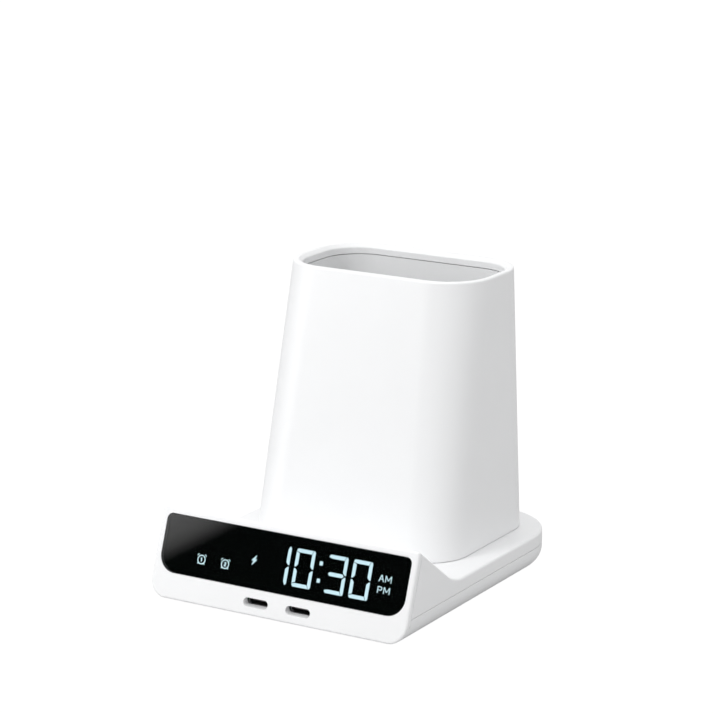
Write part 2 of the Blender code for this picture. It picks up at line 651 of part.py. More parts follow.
def clock_outlines(margin, every_segment):
    """Return the outlines of the time shown, or of every segment that the clock has."""
    shown = ("bc", "abcdef", "abcdg", "abcdef")
    outlines = []
    for left, lit in zip(DIGIT_X, shown):
        outlines += segment_outlines(left, "abcdefg" if every_segment else lit, margin)
    half = COLON_SIDE / 2 - margin
    middle = DIGIT_LOW + DIGIT_HEIGHT / 2
    for side in (-1, 1):
        centre = middle + side * COLON_SPREAD / 2
        outlines.append([(COLON_X - half, centre - half), (COLON_X + half, centre - half),
                         (COLON_X + half, centre + half), (COLON_X - half, centre + half)])
    return outlines


def make_display(white, lit, green):
    """Model the film with the raised lit segments, the light box with its wells, and the board."""
    half = LIGHT_OPENING_WIDTH / 2 - FIT
    film = bmesh.new()
    add_box(film, (-half, LIGHT_OPENING_LOW + FIT, -FILM_FRONT - FILM_THICKNESS),
            (half, LIGHT_OPENING_HIGH - FIT, -FILM_FRONT))
    segments = bmesh.new()
    for outline in clock_outlines(0, every_segment=False):
        add_prism(segments, outline, -FILM_FRONT - FILM_THICKNESS / 2, -SEGMENT_FRONT)
    join(piece("segment_film", film, lit, FACE), tool("lit_segments", segments, FACE))
    box = bmesh.new()
    add_box(box, (-half, LIGHT_OPENING_LOW + FIT, -LIGHT_BOX_BACK),
            (half, LIGHT_OPENING_HIGH - FIT, -LIGHT_BOX_FRONT))
    light_box = piece("light_box", box, white, FACE)
    wells = bmesh.new()
    for outline in clock_outlines(WELL_MARGIN, every_segment=True):
        add_prism(wells, outline, -LIGHT_BOX_FRONT - WELL_DEPTH, -LIGHT_BOX_FRONT + OVERRUN)
    cut(light_box, tool("light_wells", wells, FACE))
    board = bmesh.new()
    half = PANEL_RIM_WIDTH / 2 - FIT
    back = -DISPLAY_BOARD_FRONT - BOARD_THICKNESS
    add_box(board, (-half, LIGHT_OPENING_LOW - DISPLAY_BOARD_MARGIN_LOW, back),
            (half, LIGHT_OPENING_HIGH - DISPLAY_BOARD_MARGIN_HIGH, -DISPLAY_BOARD_FRONT))
    display_board = piece("display_board", board, green, FACE)
    holes = bmesh.new()
    for place in DISPLAY_SCREWS:
        add_round(holes, place, back - OVERRUN, -DISPLAY_BOARD_FRONT + OVERRUN,
                  SMALL_SCREW_RADIUS + FIT, steps=SMALL_STEPS)
    cut(display_board, tool("display_board_holes", holes, FACE))


def boss_places(width, insets):
    """Return points mirrored left and right at several depths."""
    return [(side * width, depth) for side in (-1, 1) for depth in insets]


def between(low, high, share):
    """Return the value at this share of the way from low to high."""
    return low + (high - low) * share


# Depths of the charging pack behind the leaning wall's outer face
COIL_FRONT = STAND_WALL + FIT
FERRITE_FRONT = COIL_FRONT + 2 * COIL_WIRE_RADIUS + FIT
HOLDER_FRONT = FERRITE_FRONT + FERRITE_THICKNESS + FIT
HOLDER_BACK = HOLDER_FRONT + HOLDER_THICKNESS
PACK_BACK = HOLDER_BACK + FIT + SMALL_HEAD_HEIGHT

# Width of the pack: what the rounded wall leaves at the holder's depth
CORNER = between(STAND_FOOT_RADIUS, STAND_RIM_RADIUS, COIL_SHARE) - STAND_WALL
CORNER_REACH = math.sqrt(CORNER ** 2 - (CORNER - HOLDER_FRONT + STAND_WALL) ** 2)
HOLDER_HALF = (between(STAND_FOOT_HALF, STAND_RIM_HALF, COIL_SHARE) - STAND_WALL - CORNER
               + CORNER_REACH - HOLDER_SIDE_GAP)
COIL_INNER_RADIUS = FERRITE_RADIUS - COIL_MARGIN - COIL_TURNS * COIL_PITCH
HOLDER_BOSSES = boss_places(HOLDER_HALF - HOLDER_BOSS_SIDE_INSET,
                            (HOLDER_BOSS_END_INSET - HOLDER_HEIGHT / 2,
                             HOLDER_HEIGHT / 2 - HOLDER_BOSS_END_INSET))

# Room for the pens: inside the rim's band, and its front wall clear of the pack
PACK_TOP = CHARGE @ Vector((0, HOLDER_HEIGHT / 2, -PACK_BACK))
CUP_HALF = STAND_RIM_HALF - RIM_BAND
CUP_REAR_Y = FRONT_Y + STAND_RIM_REAR - RIM_BAND
CUP_FRONT_Y = max(FRONT_Y + STAND_RIM_FRONT + RIM_BAND, PACK_TOP.y + FIT + LINER_WALL)
CUP_RADIUS = STAND_RIM_RADIUS - RIM_BAND


MAIN_BOARD_FRONT_Y = (FRONT_Y + PORT_HEIGHT * math.tan(FACE_LEAN) + PANEL_THICKNESS
                      / math.cos(FACE_LEAN) + PANEL_RIM_DEPTH)
MAIN_BOARD_REAR_Y = MAIN_BOARD_FRONT_Y + MAIN_BOARD_DEPTH
MAIN_BOARD_HALF = CASE_SCREW_X - CASE_BOSS_RADIUS - MAIN_BOARD_SIDE_GAP
REAR_BOARD_HALF = REAR_PAD_WIDTH / 2 - REAR_BOARD_SIDE_GAP
REAR_BOARD_REAR_Y = REAR_INNER_Y - BUTTON_FLANGE_THICKNESS - BUTTON_STEM_LENGTH - 2 * FIT
REAR_BOARD_FRONT_Y = REAR_BOARD_REAR_Y - REAR_BOARD_DEPTH
MAIN_POSTS = boss_places(MAIN_BOARD_HALF - MAIN_POST_INSET,
                         (MAIN_BOARD_FRONT_Y + MAIN_POST_INSET, MAIN_BOARD_REAR_Y - MAIN_POST_INSET))
REAR_POSTS = boss_places(REAR_BOARD_HALF - REAR_POST_INSET_SIDE, (REAR_BOARD_FRONT_Y + REAR_POST_INSET,))
BUTTON_Z = SEAM_Z - BUTTON_SEAM_MARGIN - BUTTON_HEIGHT / 2
FOOT_FRONT_X = BASE_WIDTH / 2 - FOOT_FRONT_SIDE_INSET
FOOT_REAR_X = BASE_WIDTH / 2 - FOOT_REAR_SIDE_INSET
FEET = {"front_left": (-FOOT_FRONT_X, FRONT_Y + FOOT_FRONT_INSET),
        "front_right": (FOOT_FRONT_X, FRONT_Y + FOOT_FRONT_INSET),
        "rear_left": (-FOOT_REAR_X, REAR_Y - FOOT_REAR_INSET),
        "rear_right": (FOOT_REAR_X, REAR_Y - FOOT_REAR_INSET)}


def make_bottom_cover(white):
    """Model the tray: lap tongue, screw bosses, board posts, rear pad, port and button holes."""
    block = base_block(0, 0)
    clip_behind_panel(block, FIT)
    clip_height(block, high=SEAM_Z - FIT / 2)
    tray = piece("bottom_cover", block, white)
    tongue = base_block(LAP_SKIN + FIT, 0)
    clip_behind_panel(tongue, 2 * FIT)
    clip_height(tongue, low=SEAM_Z - LAP_HEIGHT, high=SEAM_Z + LAP_HEIGHT)
    join(tray, tool("lap_tongue", tongue))
    pad = bmesh.new()
    half = REAR_PAD_WIDTH / 2
    add_box(pad, (-half, REAR_INNER_Y, UNDERSIDE), (half, REAR_Y + OVERRUN, SEAM_Z - FIT / 2))
    room = tool("tray_room", base_block(BASE_WALL, -OVERRUN))
    cut(room, tool("rear_pad", pad))
    cut(tray, room)
    bosses = bmesh.new()
    for at in CASE_SCREWS:
        add_round(bosses, at, UNDERSIDE + BASE_WALL / 2, UNDERSIDE + CASE_BOSS_TOP, CASE_BOSS_RADIUS)
    for at in MAIN_POSTS + REAR_POSTS:
        add_round(bosses, at, UNDERSIDE + BASE_WALL / 2, BOARD_LOW_Z - FIT, POST_RADIUS,
                  steps=SMALL_STEPS)
    join(tray, tool("tray_bosses", bosses))
    bores = bmesh.new()
    for at in CASE_SCREWS:
        add_round(bores, at, UNDERSIDE - OVERRUN, UNDERSIDE + COUNTERBORE_DEPTH,
                  SCREW_HEAD_RADIUS + FIT, steps=ROUND_STEPS)
    shanks = bmesh.new()
    for at in CASE_SCREWS:
        add_round(shanks, at, UNDERSIDE + COUNTERBORE_DEPTH / 2, UNDERSIDE + CASE_BOSS_TOP + OVERRUN,
                  SCREW_RADIUS + FIT, steps=SMALL_STEPS)
    for at in MAIN_POSTS + REAR_POSTS:
        add_round(shanks, at, UNDERSIDE + PILOT_ROOF, BOARD_LOW_Z + OVERRUN,
                  SMALL_SCREW_RADIUS + FIT, steps=SMALL_STEPS)
    recesses = bmesh.new()
    for at in FEET.values():
        add_round(recesses, at, UNDERSIDE - OVERRUN, UNDERSIDE + FOOT_RECESS, FOOT_RADIUS + FIT)
    openings = bmesh.new()
    depth = -BASE_WALL - REAR_PAD_THICKNESS - OVERRUN
    add_prism(openings, slot_outline(-INLET_X, 0, SOCKET_WIDTH + 2 * FIT, SOCKET_HEIGHT + 2 * FIT),
              depth, OVERRUN)
    for x in BUTTON_X:
        add_prism(openings, slot_outline(-x, BUTTON_Z - PORT_Z, BUTTON_WIDTH + 2 * FIT,
                                         BUTTON_HEIGHT + 2 * FIT), depth, OVERRUN)
    cut(tray, tool("head_bores", bores), tool("shank_bores", shanks), tool("foot_recesses", recesses),
        tool("rear_openings", openings, REAR_WALL))
    return tray


def stand_screw_places():
    """Return where screws come up through the base into the cup liner."""
    return boss_places(CUP_HALF - LINER_PILLAR_SIDE_INSET,
                       (CUP_FRONT_Y + LINER_PILLAR_INSET, CUP_REAR_Y - LINER_PILLAR_INSET))


def lead_place():
    """Return the middle of the slot that the coil's leads go down through."""
    return FRONT_Y + STAND_FOOT_FRONT + STAND_WALL + LEAD_SLOT_DEPTH


def make_base_housing(white):
    """Model the upper shell: lip, trough, flat top, lap rebate, screw pillars and wire slot."""
    block = base_block(0, 0)
    clip_behind_panel(block, FIT)
    clip_height(block, low=SEAM_Z + FIT / 2)
    housing = piece("base_housing", block, white)
    rebate = base_block(LAP_SKIN, -OVERRUN)
    clip_height(rebate, low=UNDERSIDE + BASE_WALL, high=SEAM_Z + LAP_HEIGHT + FIT)
    room = tool("housing_room", base_block(BASE_WALL, -OVERRUN))
    cut(housing, room, tool("lap_rebate", rebate))
    pillars = bmesh.new()
    for x, y in CASE_SCREWS:
        add_round(pillars, (x, y), UNDERSIDE + CASE_BOSS_TOP + FIT, pillar_top(y), PILLAR_RADIUS)
    join(housing, tool("housing_pillars", pillars))
    bores = bmesh.new()
    for x, y in CASE_SCREWS:
        add_round(bores, (x, y), SEAM_Z - OVERRUN, TOP_Z - PILOT_ROOF, SCREW_RADIUS + FIT,
                  steps=SMALL_STEPS)
    for at in stand_screw_places():
        add_round(bores, at, CEILING_Z - OVERRUN, TOP_Z + OVERRUN, SCREW_RADIUS + FIT,
                  steps=SMALL_STEPS)
    slot = bmesh.new()
    half, middle = LEAD_SLOT_WIDTH / 2, lead_place()
    add_box(slot, (LEAD_X - half, middle - LEAD_SLOT_DEPTH / 2, CEILING_Z - OVERRUN),
            (LEAD_X + half, middle + LEAD_SLOT_DEPTH / 2, TOP_Z + OVERRUN))
    cut(housing, tool("housing_bores", bores), tool("lead_slot", slot))
    return housing


def pillar_top(y):
    """Return a height inside the shell's upper wall at this depth."""
    slope = UNDERSIDE + LIP_TOP - (y + PILLAR_RADIUS - FRONT_Y - CREST) * math.tan(LIP_SLOPE)
    return max(slope, TOP_Z) - BASE_WALL / 2


def make_case_screws(steel):
    """Add the four screws that hold the two base shells together."""
    head = UNDERSIDE + COUNTERBORE_DEPTH - SCREW_HEAD_HEIGHT - FIT
    length = TOP_Z - PILOT_ROOF - FIT - head - SCREW_HEAD_HEIGHT
    make_screws("case_screw", CASE_SCREWS, steel, IDENTITY, head, length)


def make_feet(rubber):
    """Add the four rubber feet, each in its recess."""
    for name, at in FEET.items():
        bm = bmesh.new()
        add_round(bm, at, 0, FOOT_PROUD + FOOT_RECESS - FIT, FOOT_RADIUS)
        rim = [edge for edge in bm.edges
               if all(vert.co.z < TOLERANCE for vert in edge.verts)]
        bevel(bm, rim, FOOT_EDGE, EDGE_STEPS)
        piece("rubber_foot_" + name, bm, rubber)


def make_socket(name, x, recess, place, steel, black):
    """Add one socket: a pressed shell with a closed back and the contact tongue in it."""
    mouth, back = -recess, -recess - SOCKET_LENGTH
    shell = bmesh.new()
    outer = slot_outline(x, 0, SOCKET_WIDTH, SOCKET_HEIGHT)
    inner = slot_outline(x, 0, SOCKET_WIDTH - 2 * SOCKET_WALL, SOCKET_HEIGHT - 2 * SOCKET_WALL)
    rings = [[(u, v, back) for u, v in outer], [(u, v, mouth) for u, v in outer],
             [(u, v, mouth) for u, v in inner], [(u, v, back + SOCKET_WALL) for u, v in inner]]
    loft(shell, rings, closed=False)
    piece(name + "_shell", shell, steel, place)
    tongue = bmesh.new()
    half, thick = TONGUE_WIDTH / 2, TONGUE_THICKNESS / 2
    add_box(tongue, (x - half, -thick, back + SOCKET_WALL + FIT), (x + half, thick, mouth - TONGUE_RECESS))
    lip = [edge for edge in tongue.edges
           if all(vert.co.z > mouth - TONGUE_RECESS - TOLERANCE for vert in edge.verts)]
    bevel(tongue, lip, TONGUE_THICKNESS / 4, 1)
    piece(name + "_tongue", tongue, black, place)


def notch_for_socket(bm, x, edge_y, inward):
    """Add the notch of a board for a socket; inward is the sign of Y into the board."""
    half = SOCKET_WIDTH / 2 + FIT
    depth = SOCKET_LENGTH + FIT
    ends = sorted((edge_y - inward * OVERRUN, edge_y + inward * depth))
    add_box(bm, (x - half, ends[0], BOARD_LOW_Z - OVERRUN), (x + half, ends[1], BOARD_TOP_Z + OVERRUN))


def make_board(name, low, high, posts, notches, green):
    """Add a board with its socket notches and screw holes."""
    bm = bmesh.new()
    add_box(bm, (*low, BOARD_LOW_Z), (*high, BOARD_TOP_Z))
    board = piece(name, bm, green)
    openings = bmesh.new()
    for x, edge_y, inward in notches:
        notch_for_socket(openings, x, edge_y, inward)
    holes = bmesh.new()
    for at in posts:
        add_round(holes, at, BOARD_LOW_Z - OVERRUN, BOARD_TOP_Z + OVERRUN, SMALL_SCREW_RADIUS + FIT,
                  steps=SMALL_STEPS)
    cut(board, tool(name + "_notches", openings), tool(name + "_holes", holes))
    return board


def make_board_screws(name, posts, steel):
    """Add screws that point down through a board into its posts."""
    over = frame((0, 0, 0), (1, 0, 0), (0, -1, 0))
    places = [(x, -y) for x, y in posts]
    head = -BOARD_TOP_Z - FIT - SMALL_HEAD_HEIGHT
    length = BOARD_TOP_Z - UNDERSIDE - PILOT_ROOF
    make_screws(name, places, steel, over, head, length, small=True)


def make_electronics(finishes):
    """Add the two boards in the base and what is soldered to them."""
    white, green, black = finishes["white"], finishes["board"], finishes["black"]
    mouth_y = FRONT_PORTS.translation.y + PORT_RECESS
    make_board("main_board", (-MAIN_BOARD_HALF, MAIN_BOARD_FRONT_Y),
               (MAIN_BOARD_HALF, MAIN_BOARD_REAR_Y), MAIN_POSTS,
               [(x, mouth_y, 1) for x in port_places()], green)
    make_board("rear_board", (-REAR_BOARD_HALF, REAR_BOARD_FRONT_Y),
               (REAR_BOARD_HALF, REAR_BOARD_REAR_Y), REAR_POSTS,
               [(INLET_X, REAR_Y - INLET_RECESS, -1)], green)
    make_board_screws("main_board_screw", MAIN_POSTS[::3], finishes["steel"])
    make_board_screws("rear_board_screw", REAR_POSTS, finishes["steel"])
    for side, x in zip(("left", "right"), port_places()):
        make_socket("output_socket_" + side, x, PORT_RECESS, FRONT_PORTS, finishes["steel"], black)
    make_socket("inlet_socket", -INLET_X, INLET_RECESS, REAR_WALL, finishes["steel"], black)
    seat = BOARD_TOP_Z + FIT
    row = MAIN_BOARD_FRONT_Y + MAIN_BOARD_DEPTH / 2
    inductor = bmesh.new()
    side = INDUCTOR_SIDE / 2
    add_box(inductor, (-2 * INDUCTOR_SIDE - side, row - side, seat),
            (-2 * INDUCTOR_SIDE + side, row + side, seat + INDUCTOR_HEIGHT))
    bevel(inductor, inductor.edges[:], INDUCTOR_EDGE, 1)
    piece("power_inductor", inductor, finishes["ferrite"])
    chip = bmesh.new()
    side = CHIP_SIDE / 2
    add_box(chip, (-side, row - side, seat), (side, row + side, seat + CHIP_HEIGHT))
    piece("control_chip", chip, black)
    for name, step in (("front_capacitor", -1), ("rear_capacitor", 1)):
        capacitor = bmesh.new()
        add_round(capacitor, (2 * INDUCTOR_SIDE, row + step * (CAPACITOR_RADIUS + FIT)), seat,
                  seat + CAPACITOR_HEIGHT, CAPACITOR_RADIUS)
        piece(name, capacitor, finishes["steel"])
    buzzer_at = (-2 * INDUCTOR_SIDE, row + INDUCTOR_SIDE / 2 + BUZZER_RADIUS + 2 * FIT)
    buzzer = bmesh.new()
    add_round(buzzer, buzzer_at, seat, seat + BUZZER_HEIGHT, BUZZER_RADIUS)
    buzzer_body = piece("alarm_buzzer", buzzer, black)
    hole = bmesh.new()
    add_round(hole, buzzer_at, seat + BUZZER_HEIGHT / 2, seat + BUZZER_HEIGHT + OVERRUN, BUZZER_HOLE,
              steps=SMALL_STEPS)
    cut(buzzer_body, tool("buzzer_hole", hole))
    make_link_cable(seat, white, finishes["cable"])


def make_link_cable(seat, white, grey):
    """Add the flat cable between the boards and the connector at each end."""
    half = CONNECTOR_WIDTH / 2
    starts = {"main_connector": MAIN_BOARD_REAR_Y - CONNECTOR_DEPTH, "rear_connector": REAR_BOARD_FRONT_Y}
    for name, y in starts.items():
        bm = bmesh.new()
        add_box(bm, (-half, y, seat), (half, y + CONNECTOR_DEPTH, seat + CONNECTOR_HEIGHT))
        piece(name, bm, white)
    start, end = MAIN_BOARD_REAR_Y + FIT, REAR_BOARD_FRONT_Y - FIT
    middle = seat + CONNECTOR_HEIGHT / 2
    hump = CEILING_Z - CABLE_HEADROOM - CABLE_THICKNESS / 2 - middle
    steps = 2 * ARC_STEPS
    upper, lower = [], []
    for step in range(steps + 1):
        share = step / steps
        lift = hump * math.sin(math.pi * share) ** 2
        y = start + (end - start) * share
        lower.append((y, middle + lift - CABLE_THICKNESS / 2))
        upper.append((y, middle + lift + CABLE_THICKNESS / 2))
    bm = bmesh.new()
    add_prism(bm, lower + upper[::-1], -CABLE_WIDTH / 2, CABLE_WIDTH / 2)
    piece("link_cable", bm, grey, SIDE)


def make_buttons(grey, black):
    """Add the three clock buttons and the side-push switches behind them."""
    inner = -BASE_WALL - REAR_PAD_THICKNESS - FIT
    rise = BOARD_TOP_Z + FIT + SWITCH_HEIGHT / 2 - BUTTON_Z
    for name, x in zip(("mode", "down", "up"), BUTTON_X):
        place = frame((x, REAR_Y, BUTTON_Z), (-1, 0, 0), (0, 0, 1))
        bm = bmesh.new()
        add_prism(bm, slot_outline(0, 0, BUTTON_WIDTH, BUTTON_HEIGHT),
                  inner - BUTTON_FLANGE_THICKNESS / 2, BUTTON_PROUD)
        crown = [edge for edge in bm.edges
                 if all(vert.co.z > BUTTON_PROUD - TOLERANCE for vert in edge.verts)]
        bevel(bm, crown, BUTTON_EDGE, EDGE_STEPS)
        button = piece(name + "_button", bm, grey, place)
        flange = bmesh.new()
        add_prism(flange, slot_outline(0, 0, BUTTON_WIDTH + 2 * BUTTON_FLANGE,
                                       BUTTON_HEIGHT + 2 * BUTTON_FLANGE),
                  inner - BUTTON_FLANGE_THICKNESS, inner)
        stem = bmesh.new()
        add_round(stem, (0, rise), inner - BUTTON_FLANGE_THICKNESS - BUTTON_STEM_LENGTH,
                  inner - BUTTON_FLANGE_THICKNESS / 2, BUTTON_STEM_RADIUS, steps=SMALL_STEPS)
        join(button, tool(name + "_flange", flange, place), tool(name + "_stem", stem, place))
        half = SWITCH_WIDTH / 2
        rear = (REAR_INNER_Y - FIT - BUTTON_FLANGE_THICKNESS - BUTTON_STEM_LENGTH
                - BUTTON_TRAVEL - FIT)
        switch = bmesh.new()
        add_box(switch, (x - half, rear - SWITCH_DEPTH, BOARD_TOP_Z + FIT),
                (x + half, rear, BOARD_TOP_Z + FIT + SWITCH_HEIGHT))
        piece(name + "_switch", switch, black)


def stand_ring(height, inset):
    """Return the cup body's outline at a height, moved in by an inset."""
    share = (height - STAND_FOOT_Z) / (RIM_Z - STAND_FOOT_Z)
    half = between(STAND_FOOT_HALF, STAND_RIM_HALF, share) - inset
    front = FRONT_Y + between(STAND_FOOT_FRONT, STAND_RIM_FRONT, share) + inset
    rear = FRONT_Y + between(STAND_FOOT_REAR, STAND_RIM_REAR, share) - inset
    radius = between(STAND_FOOT_RADIUS, STAND_RIM_RADIUS, share) - inset
    outline = rectangle(-half, front, half, rear, [radius] * 4, CUP_STEPS)
    return [(x, y, height) for x, y in outline]


def cup_ring(height, inset):
    """Return the outline of the room for the pens at a height, moved in by an inset."""
    outline = rectangle(-CUP_HALF + inset, CUP_FRONT_Y + inset, CUP_HALF - inset, CUP_REAR_Y - inset,
                        [CUP_RADIUS - inset] * 4, CUP_STEPS)
    return [(x, y, height) for x, y in outline]


def make_stand_shell(white):
    """Model the cup body: leaning charging wall in front, inward band round the rim."""
    band_low = RIM_Z - RIM_BAND_HEIGHT
    edge = RIM_EDGE_RADIUS
    eased = edge * (1 - math.cos(math.pi / 4))
    outside = [(0, STAND_FOOT_Z), (0, RIM_Z - edge), (eased, RIM_Z - eased), (edge, RIM_Z),
               (RIM_LAND, RIM_Z)]
    rings = [stand_ring(height, inset) for inset, height in outside]
    rings += [cup_ring(RIM_Z - RIM_CHAMFER_DROP, 0), cup_ring(band_low, 0)]
    rings += [stand_ring(height, STAND_WALL) for height in (band_low, STAND_FOOT_Z)]
    bm = bmesh.new()
    loft(bm, rings, closed=True)
    shell = piece("stand_shell", bm, white)
    bosses = bmesh.new()
    pilots = bmesh.new()
    for at in HOLDER_BOSSES:
        add_round(bosses, at, -HOLDER_FRONT + FIT, -STAND_WALL / 2, HOLDER_BOSS_RADIUS,
                  steps=SMALL_STEPS)
        add_round(pilots, at, -HOLDER_FRONT - OVERRUN, -STAND_WALL, SMALL_SCREW_RADIUS + FIT,
                  steps=SMALL_STEPS)
    join(shell, tool("holder_bosses", bosses, CHARGE))
    cut(shell, tool("holder_pilots", pilots, CHARGE))
    return shell


def make_cup_liner(grey):
    """Model the inner cup, clamped under the rim band by pillars that stand on the base."""
    top = RIM_Z - RIM_BAND_HEIGHT - FIT
    floor_low = STAND_FOOT_Z + LINER_PILLAR_HEIGHT
    floor_top = floor_low + LINER_FLOOR
    round_off = LINER_FLOOR_RADIUS
    rings = [cup_ring(floor_low, LINER_DRAFT - LINER_WALL), cup_ring(top, -LINER_WALL),
             cup_ring(top, 0)]
    for step in range(EDGE_STEPS + 2):
        turn = math.pi / 2 * step / (EDGE_STEPS + 1)
        rings.append(cup_ring(floor_top + round_off * (1 - math.sin(turn)),
                              LINER_DRAFT + round_off * (1 - math.cos(turn))))
    bm = bmesh.new()
    loft(bm, rings, closed=False)
    liner = piece("cup_liner", bm, grey)
    pillars = bmesh.new()
    pilots = bmesh.new()
    for at in stand_screw_places():
        add_round(pillars, at, STAND_FOOT_Z, floor_low + LINER_FLOOR / 2, LINER_PILLAR_RADIUS,
                  steps=SMALL_STEPS)
        add_round(pilots, at, STAND_FOOT_Z - OVERRUN, floor_top - LINER_PILOT_ROOF,
                  SCREW_RADIUS + FIT, steps=SMALL_STEPS)
    join(liner, tool("liner_pillars", pillars))
    cut(liner, tool("liner_pilots", pilots))
    return liner


def make_stand_screws(steel):
    """Add the screws that pull the cup liner, and the shell with it, onto the base."""
    head = CEILING_Z - FIT - SCREW_HEAD_HEIGHT
    top = STAND_FOOT_Z + LINER_PILLAR_HEIGHT + LINER_FLOOR - LINER_PILOT_ROOF - FIT
    length = top - head - SCREW_HEAD_HEIGHT
    make_screws("stand_screw", stand_screw_places(), steel, IDENTITY, head, length)


def coil_points():
    """Return the flat spiral's points, with a straight end square to the winding's radius."""
    total = COIL_TURNS * COIL_STEPS
    depth = -COIL_FRONT - COIL_WIRE_RADIUS
    points = []
    for step in range(total + 1):
        turn = math.tau * step / COIL_STEPS
        radius = COIL_INNER_RADIUS + COIL_PITCH * turn / math.tau
        points.append(Vector((radius * math.cos(turn), radius * math.sin(turn), depth)))
    run = 2 * COIL_WIRE_RADIUS
    points.insert(0, points[0] + (points[0] - points[1]).normalized() * run)
    points.append(points[-1] + (points[-1] - points[-2]).normalized() * run)
    return points


def tube(name, points, radius, material, place):
    """Add a round tube along a list of points."""
    curve = bpy.data.curves.new(name, "CURVE")
    curve.dimensions = "3D"
    curve.bevel_depth = radius
    curve.bevel_resolution = 1
    curve.use_fill_caps = True
    spline = curve.splines.new("POLY")
    spline.points.add(len(points) - 1)
    for target, point in zip(spline.points, points):
        target.co = (*point, 1.0)
    curve.materials.append(material)
    made = bpy.data.objects.new(name, curve)
    made.matrix_world = place
    PARTS.objects.link(made)
    return made


def make_charging_pack(finishes):
    """Add the winding, the ferrite sheet behind it, the holder plate, its screws and the leads."""
    points = coil_points()
    least = COIL_PITCH - 2 * COIL_WIRE_RADIUS
    print("charging coil: turns", COIL_TURNS, "least gap between turns in mm", round(least / MM, 2))
    tube("charging_coil", points, COIL_WIRE_RADIUS, finishes["copper"], CHARGE)
    ferrite = bmesh.new()
    add_round(ferrite, (0, 0), -FERRITE_FRONT - FERRITE_THICKNESS, -FERRITE_FRONT, FERRITE_RADIUS,
              steps=2 * ROUND_STEPS)
    sheet = piece("ferrite_sheet", ferrite, finishes["ferrite"], CHARGE)
    middle = bmesh.new()
    add_round(middle, (0, 0), -FERRITE_FRONT - FERRITE_THICKNESS - OVERRUN, -FERRITE_FRONT + OVERRUN,
              FERRITE_HOLE)
    cut(sheet, tool("ferrite_hole", middle, CHARGE))
    holder = bmesh.new()
    tall = HOLDER_HEIGHT / 2
    back = -HOLDER_BACK
    add_prism(holder, rectangle(-HOLDER_HALF, -tall, HOLDER_HALF, tall, [HOLDER_CORNER] * 4), back,
              -HOLDER_FRONT)
    plate = piece("coil_holder", holder, finishes["black"], CHARGE)
    holes = bmesh.new()
    add_round(holes, (0, 0), back - OVERRUN, -HOLDER_FRONT + OVERRUN, HOLDER_HOLE_RADIUS)
    for at in HOLDER_BOSSES:
        add_round(holes, at, back - OVERRUN, -HOLDER_FRONT + OVERRUN, SMALL_SCREW_RADIUS + FIT,
                  steps=SMALL_STEPS)
    cut(plate, tool("holder_holes", holes, CHARGE))
    length = HOLDER_BACK - STAND_WALL - FIT
    make_screws("coil_screw", HOLDER_BOSSES, finishes["steel"], CHARGE, -PACK_BACK, length, small=True)
    make_coil_leads(finishes["cable"])


def make_coil_leads(material):
    """Add the two leads from behind the coil holder down to the main board."""
    lead_y = lead_place()
    low = BOARD_TOP_Z + LEAD_RADIUS + FIT
    back = -HOLDER_BACK - LEAD_RADIUS - FIT
    upper = CHARGE @ Vector((0, 0, back))
    lower = CHARGE @ Vector((0, -HOLDER_HEIGHT / 2, back))
    for name, side in (("coil_lead_left", -1), ("coil_lead_right", 1)):
        x = LEAD_X + side * LEAD_SPACING / 2
        knots = [(x, upper.y, upper.z), (x, lower.y, lower.z),
                 (x, (lower.y + lead_y) / 2, (lower.z + TOP_Z) / 2), (x, lead_y, TOP_Z),
                 (x, lead_y, CEILING_Z), (x, MAIN_BOARD_REAR_Y - LEAD_END_INSET, low + LEAD_RADIUS)]
        points = smooth_path([Vector(knot) for knot in knots], ARC_STEPS // 2)
        tube(name, points, LEAD_RADIUS, material, IDENTITY)


def smooth_path(knots, steps):
    """Return points on a Catmull-Rom curve through the knots."""
    ends = [knots[0] * 2 - knots[1], *knots, knots[-1] * 2 - knots[-2]]
    points = []
    for index in range(1, len(ends) - 2):
        before, start, end, after = ends[index - 1:index + 3]
        for step in range(steps):
            t = step / steps
            points.append((start * 2 + (end - before) * t
                           + (before * 2 - start * 5 + end * 4 - after) * t ** 2
                           + (start * 3 - before - end * 3 + after) * t ** 3) / 2)
    points.append(knots[-1])
    return points


def make_finishes():
    """Return the finishes by name."""
    return {
        "white": finish("white_abs", (0.90, 0.91, 0.92), 0.42),
        "smoked": finish("smoked_acrylic", (0.012, 0.013, 0.015), 0.08, alpha=0.6),
        "lit": finish("lit_segment", (0.70, 0.86, 1.0), 0.35),
        "board": finish("board_green", (0.03, 0.16, 0.07), 0.45),
        "steel": finish("plated_steel", (0.62, 0.63, 0.65), 0.28, 1.0),
        "black": finish("black_moulding", (0.03, 0.03, 0.032), 0.5),
        "grey": finish("grey_button", (0.78, 0.79, 0.80), 0.45),
        "rubber": finish("foot_rubber", (0.55, 0.56, 0.57), 0.8),
        "copper": finish("copper_litz", (0.62, 0.28, 0.12), 0.35, 1.0),
        "ferrite": finish("dark_ferrite", (0.06, 0.06, 0.065), 0.6),
        "cable": finish("cable_jacket", (0.75, 0.76, 0.77), 0.55),
    }


clear_scene()
PARTS = collection("charging_pen_holder")
CUTTERS = collection("cutters")
FINISHES = make_finishes()

